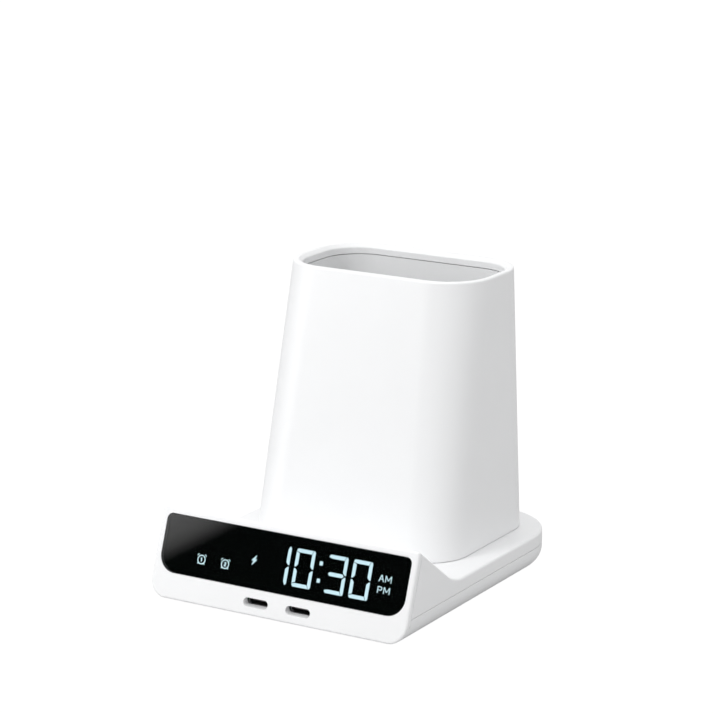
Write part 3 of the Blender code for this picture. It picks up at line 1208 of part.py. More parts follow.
make_front_panel(FINISHES["white"])
make_clock_window(FINISHES["smoked"])
make_display(FINISHES["white"], FINISHES["lit"], FINISHES["board"])
make_screws("display_screw", DISPLAY_SCREWS, FINISHES["steel"], FACE,
            -DISPLAY_BOARD_FRONT - BOARD_THICKNESS - FIT - SMALL_HEAD_HEIGHT,
            BOARD_THICKNESS + FIT + DISPLAY_BOARD_FRONT - PANEL_THICKNESS - FIT, small=True)
make_bottom_cover(FINISHES["white"])
make_base_housing(FINISHES["white"])
make_case_screws(FINISHES["steel"])
make_feet(FINISHES["rubber"])
make_electronics(FINISHES)
make_buttons(FINISHES["grey"], FINISHES["black"])
make_stand_shell(FINISHES["white"])
make_cup_liner(FINISHES["white"])
make_stand_screws(FINISHES["steel"])
make_charging_pack(FINISHES)
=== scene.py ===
"""Looks of the wireless charger pen holder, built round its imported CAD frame.

Every length is in metres and every place is in the frame's own axes: X across the front, Y to
the rear, Z up from the floor. Each sub-assembly is a class that builds its pieces and dresses them.
"""

import logging
import math
from dataclasses import dataclass
from enum import Enum
from typing import Callable, Iterable, Mapping, Optional, Sequence, Union

import bmesh
import bpy
from bmesh.types import BMEdge, BMesh, BMFace, BMVert
from mathutils import Matrix, Vector


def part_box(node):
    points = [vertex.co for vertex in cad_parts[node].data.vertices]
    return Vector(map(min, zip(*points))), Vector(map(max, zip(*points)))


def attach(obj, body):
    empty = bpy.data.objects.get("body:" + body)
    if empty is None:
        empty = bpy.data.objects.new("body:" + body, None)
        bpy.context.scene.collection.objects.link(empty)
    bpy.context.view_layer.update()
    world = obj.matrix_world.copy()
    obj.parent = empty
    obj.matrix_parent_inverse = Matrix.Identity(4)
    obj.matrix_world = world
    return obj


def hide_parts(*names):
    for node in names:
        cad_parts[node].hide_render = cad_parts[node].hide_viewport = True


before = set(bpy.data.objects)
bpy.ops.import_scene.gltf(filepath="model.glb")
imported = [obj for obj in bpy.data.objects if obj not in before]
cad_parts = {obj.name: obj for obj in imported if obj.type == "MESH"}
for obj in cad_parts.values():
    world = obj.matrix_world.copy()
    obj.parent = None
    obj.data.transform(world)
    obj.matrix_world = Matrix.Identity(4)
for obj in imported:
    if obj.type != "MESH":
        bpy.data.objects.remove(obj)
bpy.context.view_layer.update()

MM = 0.001
NEAR = 1e-6
OVERRUN = 0.5 * MM
ARC_SLACK = 0.06 * MM
SLOT_STEPS, PLAN_STEPS = 14, 24
SHARP = math.radians(32.0)
ACROSS, LEFTWARD = (1.0, 0.0, 0.0), (-1.0, 0.0, 0.0)
ABOVE, BELOW = (0.0, 0.0, 1.0), (0.0, 0.0, -1.0)
WHITE = (1.0, 1.0, 1.0, 1.0)
log = logging.getLogger("pen_holder")

Number = Union[float, "Signal"]
Pair = tuple[float, float]
Triple = tuple[float, float, float]
Colour = tuple[float, float, float]
Owner = Union[bpy.types.Material, bpy.types.World]


class Body(Enum):
    """The frame's moving bodies."""

    HOLDER = "holder"
    MODE = "mode_button"
    DOWN = "down_button"
    UP = "up_button"


class Slot(Enum):
    """The record's material slots."""

    WHITE_SHELL = "white_shell"
    SMOKED_WINDOW = "smoked_window"
    LIT_FILM = "lit_film"
    WHITE_INNER = "white_inner"
    CIRCUIT_BOARD = "circuit_board"
    SCREW_STEEL = "screw_steel"
    SOCKET_STEEL = "socket_steel"
    BLACK_MOULDING = "black_moulding"
    FOOT_RUBBER = "foot_rubber"
    BUTTON_GREY = "button_grey"
    COPPER_LITZ = "copper_litz"
    FERRITE = "ferrite"
    CAPACITOR_CAN = "capacitor_can"
    CABLE_JACKET = "cable_jacket"


# Node graphs


class Signal:
    """A number, colour or vector that leaves a node, with arithmetic on numbers."""

    def __init__(self, graph: "Graph", socket: bpy.types.NodeSocket) -> None:
        """Wrap one output socket."""
        self.graph = graph
        self.socket = socket

    def __add__(self, other: Number) -> "Signal":
        """Add a number."""
        return self.graph.number("ADD", self, other)

    def __radd__(self, other: Number) -> "Signal":
        """Add to a number."""
        return self.graph.number("ADD", other, self)

    def __sub__(self, other: Number) -> "Signal":
        """Take a number away."""
        return self.graph.number("SUBTRACT", self, other)

    def __rsub__(self, other: Number) -> "Signal":
        """Take this away from a number."""
        return self.graph.number("SUBTRACT", other, self)

    def __mul__(self, other: Number) -> "Signal":
        """Multiply by a number."""
        return self.graph.number("MULTIPLY", self, other)

    def __rmul__(self, other: Number) -> "Signal":
        """Multiply a number by this."""
        return self.graph.number("MULTIPLY", other, self)

    def __gt__(self, other: Number) -> "Signal":
        """Give 1 where this is above a number, and 0 elsewhere."""
        return self.graph.number("GREATER_THAN", self, other)


class Graph:
    """The node tree of a material or of the world."""

    def __init__(self, owner: Owner) -> None:
        """Empty the owner's tree.

        Args:
            owner: the material or the world.
        """
        owner.use_nodes = True
        self.owner = owner
        self.tree = owner.node_tree
        self.tree.nodes.clear()

    def make(self, kind: str, settings: Optional[Mapping] = None,
             inputs: Optional[Mapping] = None) -> bpy.types.Node:
        """Add a node.

        Args:
            kind: the node's type.
            settings: properties set before the sockets; "stops" fills a colour ramp.
            inputs: values or signals by socket name or number.

        Returns:
            The node.
        """
        made = self.tree.nodes.new(kind)
        for key, value in (settings or {}).items():
            if key == "stops":
                self.fill_ramp(made.color_ramp, value)
            else:
                setattr(made, key, value)
        for key, value in (inputs or {}).items():
            if isinstance(value, Signal):
                self.tree.links.new(value.socket, made.inputs[key])
            else:
                made.inputs[key].default_value = value
        return made

    def node(self, kind: str, settings: Optional[Mapping] = None, inputs: Optional[Mapping] = None,
             output: Union[int, str] = 0) -> Signal:
        """Add a node and return one of its outputs."""
        return Signal(self, self.make(kind, settings, inputs).outputs[output])

    @staticmethod
    def fill_ramp(ramp: bpy.types.ColorRamp, stops: Sequence[Pair]) -> None:
        """Set a grey ramp's stops.

        Args:
            ramp: the ramp.
            stops: pairs of position and value.
        """
        while len(ramp.elements) < len(stops):
            ramp.elements.new(1.0)
        for element, (position, value) in zip(ramp.elements, stops):
            element.position = position
            element.color = (value, value, value, 1.0)

    def number(self, operation: str, first: Number, second: Number) -> Signal:
        """Add a Math node."""
        return self.node("ShaderNodeMath", {"operation": operation}, {0: first, 1: second})

    def place(self) -> Signal:
        """Return the place on the piece, in the frame's metres."""
        return self.node("ShaderNodeTexCoord", output="Object")

    def noise(self, place: Signal, size: float, detail: float,
              stretch: Optional[Sequence[float]] = None) -> Signal:
        """Return soft noise from 0 to 1.

        Args:
            place: the coordinates.
            size: how large one patch is, in metres.
            detail: how many finer layers it has.
            stretch: a scale for each axis, for grain that runs one way.

        Returns:
            The noise's value.
        """
        if stretch is not None:
            place = self.node("ShaderNodeMapping", inputs={"Vector": place, "Scale": stretch},
                              output="Vector")
        inputs = {"Vector": place, "Scale": 1.0 / size, "Detail": detail}
        return self.node("ShaderNodeTexNoise", inputs=inputs, output="Fac")

    def blend(self, share: Number, low: Colour, high: Colour) -> Signal:
        """Mix two colours."""
        inputs = {0: share, 6: (*low, 1.0), 7: (*high, 1.0)}
        return self.node("ShaderNodeMix", {"data_type": "RGBA"}, inputs, output=2)

    def bump(self, height: Signal, depth: float, strength: float = 1.0) -> Signal:
        """Return normals shaken by a height of this depth in metres."""
        inputs = {"Strength": strength, "Distance": depth, "Height": height}
        return self.node("ShaderNodeBump", inputs=inputs, output="Normal")

    def close(self, shader: Signal) -> Owner:
        """Send a shader to the owner's output.

        Args:
            shader: the finished shader.

        Returns:
            The owner.
        """
        kind = "World" if isinstance(self.owner, bpy.types.World) else "Material"
        self.make("ShaderNodeOutput" + kind, inputs={"Surface": shader})
        return self.owner


# Finishes


@dataclass(frozen=True)
class Finish:
    """A material that pieces wear."""

    name: str
    slot: Slot
    colour: Colour

    def tint(self, factor: float) -> Colour:
        """Return the colour, darker or brighter by a factor."""
        return tuple(factor * channel for channel in self.colour)

    def inputs(self, graph: Graph, place: Signal) -> Mapping:
        """Return the shader's inputs by name, with signals made in the graph at the place."""
        raise NotImplementedError

    def material(self) -> bpy.types.Material:
        """Make the finish.

        Returns:
            The material.
        """
        graph = Graph(bpy.data.materials.new(self.name))
        inputs = self.inputs(graph, graph.place())
        return graph.close(graph.node("ShaderNodeBsdfPrincipled", inputs=inputs))


@dataclass(frozen=True)
class Grained(Finish):
    """Plastic, rubber or metal with a fine grain and soft large patches."""

    roughness: float
    grain: float = 0.32 * MM
    depth: float = 0.006 * MM
    shade: float = 0.97
    sheen: float = 0.5
    patch: float = 22.0 * MM
    patch_detail: float = 2.0
    run: Optional[Triple] = None
    swing: Pair = (0.10, 0.05)
    metallic: float = 0.0

    def inputs(self, graph: Graph, place: Signal) -> Mapping:
        """Let the grain shake roughness and normals, and the patches the colour.

        Args:
            graph: the material's tree.
            place: the coordinates.

        Returns:
            The shader's inputs by name.
        """
        grain = graph.noise(place, self.grain, 3.0, self.run)
        patch = graph.noise(place, self.patch, self.patch_detail)
        fine, broad = self.swing
        return {"Base Color": graph.blend(patch, self.tint(self.shade), self.colour),
                "Metallic": self.metallic,
                "Roughness": self.roughness + fine * (grain - 0.5) + broad * (patch - 0.5),
                "Specular IOR Level": self.sheen,
                "Normal": graph.bump(grain, self.depth)}


@dataclass(frozen=True)
class Metal(Grained):
    """Plated or drawn metal with a one-way grain."""

    grain: float = 0.25 * MM
    depth: float = 0.004 * MM
    shade: float = 0.86
    patch: float = 5.0 * MM
    patch_detail: float = 3.0
    run: Optional[Triple] = (1.0, 1.0, 6.0)
    swing: Pair = (0.12, 0.06)
    metallic: float = 1.0


@dataclass(frozen=True)
class Smoked(Finish):
    """Polished smoked acrylic that the lit clock shows through."""

    name: str = "smoked_acrylic"
    slot: Slot = Slot.SMOKED_WINDOW
    colour: Colour = (0.0020, 0.0030, 0.0027)
    veil: Pair = (0.55, 0.004)
    polish: Pair = (0.012, 0.010)
    film: float = 9.0 * MM
    brighter: float = 1.15

    def inputs(self, graph: Graph, place: Signal) -> Mapping:
        """Let a thin film of dust change the polish.

        Args:
            graph: the material's tree.
            place: the coordinates.

        Returns:
            The shader's inputs by name.
        """
        film = graph.noise(place, self.film, 3.0)
        return {"Base Color": graph.blend(film, self.colour, self.tint(self.brighter)),
                "Roughness": self.polish[0] + self.polish[1] * film,
                "Alpha": self.veil[0] + self.veil[1] * (film - 0.5)}


@dataclass(frozen=True)
class Lit(Finish):
    """Diffusing film lit from behind, a little uneven."""

    name: str = "lit_sign"
    slot: Slot = Slot.LIT_FILM
    colour: Colour = (0.66, 0.91, 1.0)
    strength: float = 4.85
    patch: float = 2.4 * MM
    dim: float = 0.93
    film: Colour = (0.02, 0.02, 0.02)
    roughness: float = 0.6
    sheen: float = 0.05

    def inputs(self, graph: Graph, place: Signal) -> Mapping:
        """Let the light vary from patch to patch.

        Args:
            graph: the material's tree.
            place: the coordinates.

        Returns:
            The shader's inputs by name.
        """
        glow = graph.noise(place, self.patch, 1.0)
        return {"Base Color": (*self.film, 1.0),
                "Roughness": self.roughness,
                "Specular IOR Level": self.sheen,
                "Emission Color": graph.blend(glow, self.tint(self.dim), self.colour),
                "Emission Strength": self.strength}


@dataclass(frozen=True)
class SolderMask(Finish):
    """Green lacquer over fine copper traces."""

    name: str = "solder_mask"
    slot: Slot = Slot.CIRCUIT_BOARD
    colour: Colour = (0.020, 0.130, 0.055)
    cell: float = 4.0 * MM
    trace: float = 0.16
    brighter: float = 1.9
    roughness: Pair = (0.26, 0.08)
    depth: float = 0.02 * MM
    strength: float = 0.6

    def inputs(self, graph: Graph, place: Signal) -> Mapping:
        """Raise traces along the borders of cells.

        Args:
            graph: the material's tree.
            place: the coordinates.

        Returns:
            The shader's inputs by name.
        """
        border = graph.node("ShaderNodeTexVoronoi", {"feature": "DISTANCE_TO_EDGE"},
                            {"Vector": place, "Scale": 1.0 / self.cell}, output="Distance")
        field = border > self.trace
        return {"Base Color": graph.blend(field, self.tint(self.brighter), self.colour),
                "Roughness": self.roughness[0] + self.roughness[1] * field,
                "Normal": graph.bump(1.0 - field, self.depth, self.strength)}


@dataclass(frozen=True)
class Litz(Finish):
    """Enamelled copper wire of many twisted strands."""

    name: str = "copper_litz_wire"
    slot: Slot = Slot.COPPER_LITZ
    colour: Colour = (0.68, 0.27, 0.10)
    strand: float = 0.35 * MM
    run: Triple = (1.0, 2.5, 1.0)
    shade: float = 0.55
    metallic: float = 0.85
    roughness: Pair = (0.30, 0.15)
    depth: float = 0.03 * MM

    def inputs(self, graph: Graph, place: Signal) -> Mapping:
        """Let the strands change colour, roughness and normals.

        Args:
            graph: the material's tree.
            place: the coordinates.

        Returns:
            The shader's inputs by name.
        """
        strands = graph.noise(place, self.strand, 2.0, self.run)
        return {"Base Color": graph.blend(strands, self.tint(self.shade), self.colour),
                "Metallic": self.metallic,
                "Roughness": self.roughness[0] + self.roughness[1] * strands,
                "Normal": graph.bump(strands, self.depth)}


@dataclass(frozen=True)
class Finishes:
    """Every finish that the object wears."""

    shell: Finish = Grained("white_abs", Slot.WHITE_SHELL, (0.900, 0.905, 0.912), 0.36)
    inner: Finish = Grained("white_liner", Slot.WHITE_INNER, (0.84, 0.845, 0.85), 0.42)
    window: Finish = Smoked()
    lit: Finish = Lit()
    fine_lit: Finish = Lit("fine_lit_sign", strength=7.4)
    mask: Finish = Grained("black_mask", Slot.LIT_FILM, (0.0028, 0.0032, 0.0032), 0.80, sheen=0.02)
    black: Finish = Grained("black_moulding", Slot.BLACK_MOULDING, (0.022, 0.022, 0.024), 0.45)
    button: Finish = Grained("button_grey", Slot.BUTTON_GREY, (0.74, 0.75, 0.765), 0.40)
    rubber: Finish = Grained("foot_rubber", Slot.FOOT_RUBBER, (0.42, 0.43, 0.44), 0.78,
                             0.5 * MM, 0.02 * MM, 0.92)
    ferrite: Finish = Grained("sintered_ferrite", Slot.FERRITE, (0.050, 0.050, 0.054), 0.62,
                              0.6 * MM, 0.02 * MM, 0.84)
    jacket: Finish = Grained("cable_jacket", Slot.CABLE_JACKET, (0.32, 0.33, 0.34), 0.50)
    tongue: Finish = Grained("dark_tongue", Slot.BLACK_MOULDING, (0.10, 0.10, 0.105), 0.45)
    screw: Finish = Metal("zinc_screw", Slot.SCREW_STEEL, (0.60, 0.61, 0.63), 0.34)
    # Sockets: steel given a dark grey so their insides read dark. This is painted shade; real
    # socket steel is brighter.
    socket: Finish = Metal("shade_darkened_steel", Slot.SOCKET_STEEL, (0.34, 0.34, 0.35), 0.32)
    contact: Finish = Metal("gilt_contact", Slot.SOCKET_STEEL, (0.80, 0.62, 0.33), 0.30)
    can: Finish = Metal("capacitor_can", Slot.CAPACITOR_CAN, (0.74, 0.75, 0.76), 0.30)
    board: Finish = SolderMask()
    litz: Finish = Litz()


class Wardrobe:
    """Makes each finish's material once and puts it on pieces."""

    def __init__(self) -> None:
        """Start with no material made."""
        self.made: dict[str, bpy.types.Material] = {}

    def dress(self, piece: bpy.types.Object, finish: Finish) -> None:
        """Give a piece or a node its finish.

        Args:
            piece: the object.
            finish: the finish that it wears.
        """
        if finish.name not in self.made:
            self.made[finish.name] = finish.material()
        if piece.data.materials:
            for slot in piece.material_slots:
                slot.material = self.made[finish.name]
        else:
            piece.data.materials.append(self.made[finish.name])

    def place(self, piece: bpy.types.Object, finish: Finish, *nodes: str,
              body: Body = Body.HOLDER) -> None:
        """Dress a finished piece and fix it to its body.

        Args:
            piece: the object, in place.
            finish: the finish that it wears.
            nodes: the frame's nodes that it stands for.
            body: the frame's body that it moves with.
        """
        self.dress(piece, finish)
        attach(piece, body.value)
        if nodes:
            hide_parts(*nodes)
        log.info("%s: %d faces in %s, rides on %s", piece.name, len(piece.data.polygons),
                 finish.name, body.value)


# Forms


def frame_at(origin: Sequence[float], across: Sequence[float], up: Sequence[float]) -> Matrix:
    """Return a place whose X runs across, Y up and Z outward.

    Args:
        origin: its middle.
        across: the direction of its X.
        up: the direction of its Y.

    Returns:
        The matrix from that place to the frame.
    """
    first, second = Vector(across).normalized(), Vector(up).normalized()
    rows = Matrix((first, second, first.cross(second))).transposed()
    return Matrix.Translation(Vector(origin)) @ rows.to_4x4()


def box_corners(width: float, low: float, high: float, centre: float = 0.0) -> list[Pair]:
    """Return a rectangle's corners, counter-clockwise from its lower left."""
    left, right = centre - width / 2, centre + width / 2
    return [(left, low), (right, low), (right, high), (left, high)]


def lies_at(edge: BMEdge, axis: int, value: float) -> bool:
    """Say whether both ends of an edge lie at a value of one axis."""
    return all(abs(vert.co[axis] - value) < NEAR for vert in edge.verts)


def add_object(name: str, data: bpy.types.ID) -> bpy.types.Object:
    """Add an object to the scene.

    Args:
        name: its name.
        data: its mesh, lamp or camera.

    Returns:
        The object.
    """
    made = bpy.data.objects.new(name, data)
    bpy.context.scene.collection.objects.link(made)
    return made


class Form:
    """A mesh under way, shaped by bmesh operators."""

    def __init__(self) -> None:
        """Start with nothing."""
        self.bm: BMesh = bmesh.new()

    def outline(self, corners: Sequence[Sequence[float]], radii: Sequence[float] = (),
                segments: int = 1) -> BMFace:
        """Add a flat face and round its corners.

        Args:
            corners: its corners in space, in order.
            radii: a radius for each corner, or none for square corners.
            segments: the steps of each rounded corner.

        Returns:
            The face.
        """
        before = set(self.bm.faces)
        points = [Vector(corner) for corner in corners]
        verts = [self.bm.verts.new(point) for point in points]
        self.bm.faces.new(verts)
        for index, (vert, radius) in enumerate(zip(verts, radii)):
            if radius > NEAR:
                back = points[index - 1] - points[index]
                ahead = points[(index + 1) % len(points)] - points[index]
                reach = radius / math.tan(back.angle(ahead) / 2)
                self.bevel([vert], reach, segments, "VERTICES")
        return next(face for face in self.bm.faces if face not in before)

    def plate(self, corners: Sequence[Pair], low: float, high: float,
              radii: Sequence[float] = (), segments: int = 1) -> BMFace:
        """Add a plate between two heights and return its upper face."""
        base = self.outline([(u, v, low) for u, v in corners], radii, segments)
        return self.pull([base], (0.0, 0.0, high - low))[0]

    def slot_plate(self, centre: Pair, size: Pair, low: float, high: float) -> BMFace:
        """Add a plate with round ends.

        Args:
            centre: its middle.
            size: its width and height.
            low: where its lower side lies.
            high: where its upper side lies.

        Returns:
            Its upper face.
        """
        half = size[1] / 2
        corners = box_corners(size[0], centre[1] - half, centre[1] + half, centre[0])
        return self.plate(corners, low, high, [half - 2 * NEAR] * 4, SLOT_STEPS)

    def bars(self, places: Iterable[Pair], low: float, high: float, radius: float,
             steps: int = 32) -> "Form":
        """Add upright cylinders.

        Args:
            places: the middle of each.
            low: the height of their feet.
            high: the height of their tops.
            radius: their radius.
            steps: the sides of each.

        Returns:
            The form.
        """
        for x, y in places:
            bmesh.ops.create_cone(self.bm, cap_ends=True, segments=steps, radius1=radius,
                                  radius2=radius, depth=high - low,
                                  matrix=Matrix.Translation((x, y, (low + high) / 2)))
        return self

    def box(self, low: Sequence[float], high: Sequence[float]) -> "Form":
        """Add a box between two corners.

        Args:
            low: the corner with the smallest coordinates.
            high: the opposite corner.

        Returns:
            The form.
        """
        first, last = Vector(low), Vector(high)
        place = Matrix.Translation((first + last) / 2) @ Matrix.Diagonal((*(last - first), 1.0))
        bmesh.ops.create_cube(self.bm, size=1.0, matrix=place)
        return self

    def pull(self, faces: Sequence[BMFace], by: Sequence[float]) -> list[BMFace]:
        """Extrude faces.

        Args:
            faces: the faces, which go where they would end up inside.
            by: how far they are pulled.

        Returns:
            The faces where they end.
        """
        result = bmesh.ops.extrude_face_region(self.bm, geom=list(faces))
        moved = [item for item in result["geom"] if isinstance(item, BMVert)]
        bmesh.ops.translate(self.bm, verts=moved, vec=by)
        inside = [face for face in faces if any(len(edge.link_faces) > 2 for edge in face.edges)]
        bmesh.ops.delete(self.bm, geom=inside, context="FACES_ONLY")
        return [item for item in result["geom"] if isinstance(item, BMFace)]

    def inset(self, face: BMFace, margin: float) -> list[BMFace]:
        """Draw a face in by a margin all round and return the faces round it."""
        return bmesh.ops.inset_region(self.bm, faces=[face], thickness=margin,
                                      use_even_offset=True, use_boundary=True)["faces"]

    def bevel(self, parts: Iterable[Union[BMEdge, BMVert]], radius: float, segments: int,
              affect: str = "EDGES") -> None:
        """Round these edges, or the corners of a face."""
        bmesh.ops.bevel(self.bm, geom=list(parts), offset=radius, offset_type="OFFSET",
                        segments=segments, profile=0.5, affect=affect, material=-1)

    def bevel_where(self, chosen: Callable[[BMEdge], bool], radius: float, segments: int) -> None:
        """Round the edges that a test picks."""
        self.bevel([edge for edge in self.bm.edges if chosen(edge)], radius, segments)

    def clip(self, point: Sequence[float], outward: Sequence[float], ease: float = 0.0) -> None:
        """Cut off what lies beyond a plane, close the cut and ease its rim.

        Args:
            point: a point of the plane.
            outward: the side that goes.
            ease: the radius of the rim's edge.
        """
        everything = self.bm.verts[:] + self.bm.edges[:] + self.bm.faces[:]
        result = bmesh.ops.bisect_plane(self.bm, geom=everything, dist=NEAR / 10, plane_co=point,
                                        plane_no=outward, clear_outer=True)
        rim = [item for item in result["geom_cut"] if isinstance(item, BMEdge)]
        self.cap(rim)
        if ease > 0:
            self.bevel(rim, ease, 2)

    def bridge(self, loops: Sequence[list[BMEdge]]) -> None:
        """Join each loop to the next."""
        for lower, upper in zip(loops, loops[1:]):
            bmesh.ops.bridge_loops(self.bm, edges=lower + upper)

    def cap(self, edges: Sequence[BMEdge]) -> BMFace:
        """Close a loop with one face."""
        return bmesh.ops.edgeloop_fill(self.bm, edges=list(edges))["faces"][0]

    def to_object(self, name: str, place: Optional[Matrix] = None) -> bpy.types.Object:
        """Make the form an object at the origin, with its place in its mesh.

        Args:
            name: the object's name.
            place: where the form's own axes lie.

        Returns:
            The object.
        """
        if place is not None:
            bmesh.ops.transform(self.bm, matrix=place, verts=self.bm.verts)
        bmesh.ops.recalc_face_normals(self.bm, faces=self.bm.faces)
        mesh = bpy.data.meshes.new(name)
        self.bm.to_mesh(mesh)
        self.bm.free()
        mesh.shade_smooth()
        mesh.set_sharp_from_angle(angle=SHARP)
        return add_object(name, mesh)


class Cut(Enum):
    """What a tool does to a piece."""

    AWAY = "DIFFERENCE"
    ONTO = "UNION"


def carve(piece: bpy.types.Object, tool: Form, kind: Cut = Cut.AWAY,
          place: Optional[Matrix] = None) -> None:
    """Cut a form away from a piece, or join it on, and keep the result as the piece's mesh.

    Args:
        piece: the piece that changes.
        tool: the form; it is used up.
        kind: whether it cuts or joins.
        place: where the form's own axes lie.
    """
    other = tool.to_object("carving_tool", place)
    change = piece.modifiers.new("carve", "BOOLEAN")
    change.operation = kind.value
    change.solver = "EXACT"
    change.object = other
    graph = bpy.context.evaluated_depsgraph_get()
    made = bpy.data.meshes.new_from_object(piece.evaluated_get(graph))
    piece.modifiers.clear()
    worn, piece.data = piece.data, made
    made.name = piece.name
    bpy.data.meshes.remove(worn)
    spent = other.data
    bpy.data.objects.remove(other)
    bpy.data.meshes.remove(spent)


def screw_places(stem: str, count: int) -> list[Pair]:
    """Return the middles of the frame's screws with this name.

    Args:
        stem: the screws' name, before their numbers.
        count: how many there are.

    Returns:
        One place per screw.
    """
    boxes = [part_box("%s_%d" % (stem, number)) for number in range(1, count + 1)]
    return [((low.x + high.x) / 2, (low.y + high.y) / 2) for low, high in boxes]


def on_plane(plane: Matrix) -> Callable[[BMEdge], bool]:
    """Return a test for hard edges that lie in a place's own XY plane.

    Args:
        plane: the place.

    Returns:
        The test.
    """
    back = plane.inverted()

    def chosen(edge: BMEdge) -> bool:
        """Say whether this edge is one."""
        flat = all(abs((back @ vert.co).z) < 2 * NEAR for vert in edge.verts)
        return flat and edge.calc_face_angle(0.0) > SHARP

    return chosen


def ease(piece: bpy.types.Object, chosen: Callable[[BMEdge], bool], radius: float,
         segments: int) -> None:
    """Round edges of a made piece.

    Args:
        piece: the piece.
        chosen: the test that picks the edges.
        radius: their radius.
        segments: the steps of the rounding.
    """
    form = Form()
    form.bm.from_mesh(piece.data)
    bmesh.ops.remove_doubles(form.bm, verts=form.bm.verts, dist=NEAR / 2)
    form.bevel_where(chosen, radius, segments)
    form.bm.to_mesh(piece.data)
    form.bm.free()


def settle(piece: bpy.types.Object) -> bpy.types.Object:
    """Give a finished piece clean shading across its flats and fillets.

    Args:
        piece: the piece.

    Returns:
        The same piece.
    """
    piece.data.shade_smooth()
    piece.data.set_sharp_from_angle(angle=SHARP)
    piece.modifiers.new("weighted_normals", "WEIGHTED_NORMAL").keep_sharp = True
    return piece


# Shared sizes


@dataclass(frozen=True)
class Layout:
    """Sizes that more than one sub-assembly shares."""

    width: float = 104.0 * MM
    underside: float = 1.2 * MM
    top: float = 13.0 * MM
    lip: float = 30.6 * MM
    lean: float = math.radians(19.7)
    slope: float = math.radians(36.1)
    trough: float = 16.0 * MM
    ledge: float = 4.8 * MM
    stand_depth: float = 67.3 * MM
    rear_margin: float = 6.8 * MM
    button_proud: float = 0.8 * MM
    edge: float = 0.9 * MM
    wall: float = 2.2 * MM
    panel: float = 2.0 * MM
    joint: float = 0.12 * MM
    seam: float = 8.2 * MM
    port_height: float = 4.31 * MM
    port_centre: float = 0.7 * MM
    port_spacing: float = 17.1 * MM
    port_slot: Pair = (9.9 * MM, 2.92 * MM)
    port_tunnel: float = 2.65 * MM
    inlet: float = -15.0 * MM
    inlet_recess: float = 1.7 * MM
    socket: Pair = (8.94 * MM, 3.26 * MM)
    socket_gap: float = 0.3 * MM
    stand_lift: float = 0.3 * MM
    stand_screws: int = 4

    @property
    def crest(self) -> float:
        """Depth of the lip's crest behind the face's lower edge."""
        return self.lip * math.tan(self.lean)

    @property
    def hollow(self) -> float:
        """Depth at which the lip's slope would meet the flat."""
        return self.crest + (self.lip - self.top) / math.tan(self.slope)

    @property
    def stand_front(self) -> float:
        """Depth of the cup body's foot behind the face's lower edge."""
        return self.hollow + self.trough * math.tan(self.slope / 2) + self.ledge

    @property
    def depth(self) -> float:
        """Depth of the base."""
        return self.stand_front + self.stand_depth + self.rear_margin

    @property
    def front(self) -> float:
        """Y of the face's lower edge."""
        return -(self.depth + self.button_proud + self.edge * math.sin(self.lean)) / 2

    @property
    def rear(self) -> float:
        """Y of the rear wall."""
        return self.front + self.depth

    @property
    def top_z(self) -> float:
        """Height of the flat that carries the cup body."""
        return self.underside + self.top

    @property
    def seam_z(self) -> float:
        """Height of the seam between the base's shells."""
        return self.underside + self.seam

    @property
    def port_z(self) -> float:
        """Height of the sockets' axis."""
        return self.underside + self.port_height

    @property
    def face(self) -> Matrix:
        """The leaning face: X across, Y up the face from its lower edge, Z outward."""
        return frame_at((0.0, self.front, self.underside), ACROSS,
                        (0.0, math.sin(self.lean), math.cos(self.lean)))

    @property
    def face_height(self) -> float:
        """Height of the leaning face, measured up the face."""
        return self.lip / math.cos(self.lean)

    @property
    def front_ports(self) -> Matrix:
        """The sockets in the face: Z points level and outward."""
        depth = self.front + self.port_height * math.tan(self.lean)
        return frame_at((0.0, depth, self.port_z), ACROSS, ABOVE)

    @property
    def rear_wall(self) -> Matrix:
        """The rear wall at the sockets' height: X runs to the left, Z points outward."""
        return frame_at((0.0, self.rear, self.port_z), LEFTWARD, ABOVE)

    @property
    def ports(self) -> Pair:
        """X of the two sockets in the face."""
        return (self.port_centre - self.port_spacing / 2, self.port_centre + self.port_spacing / 2)


# Base


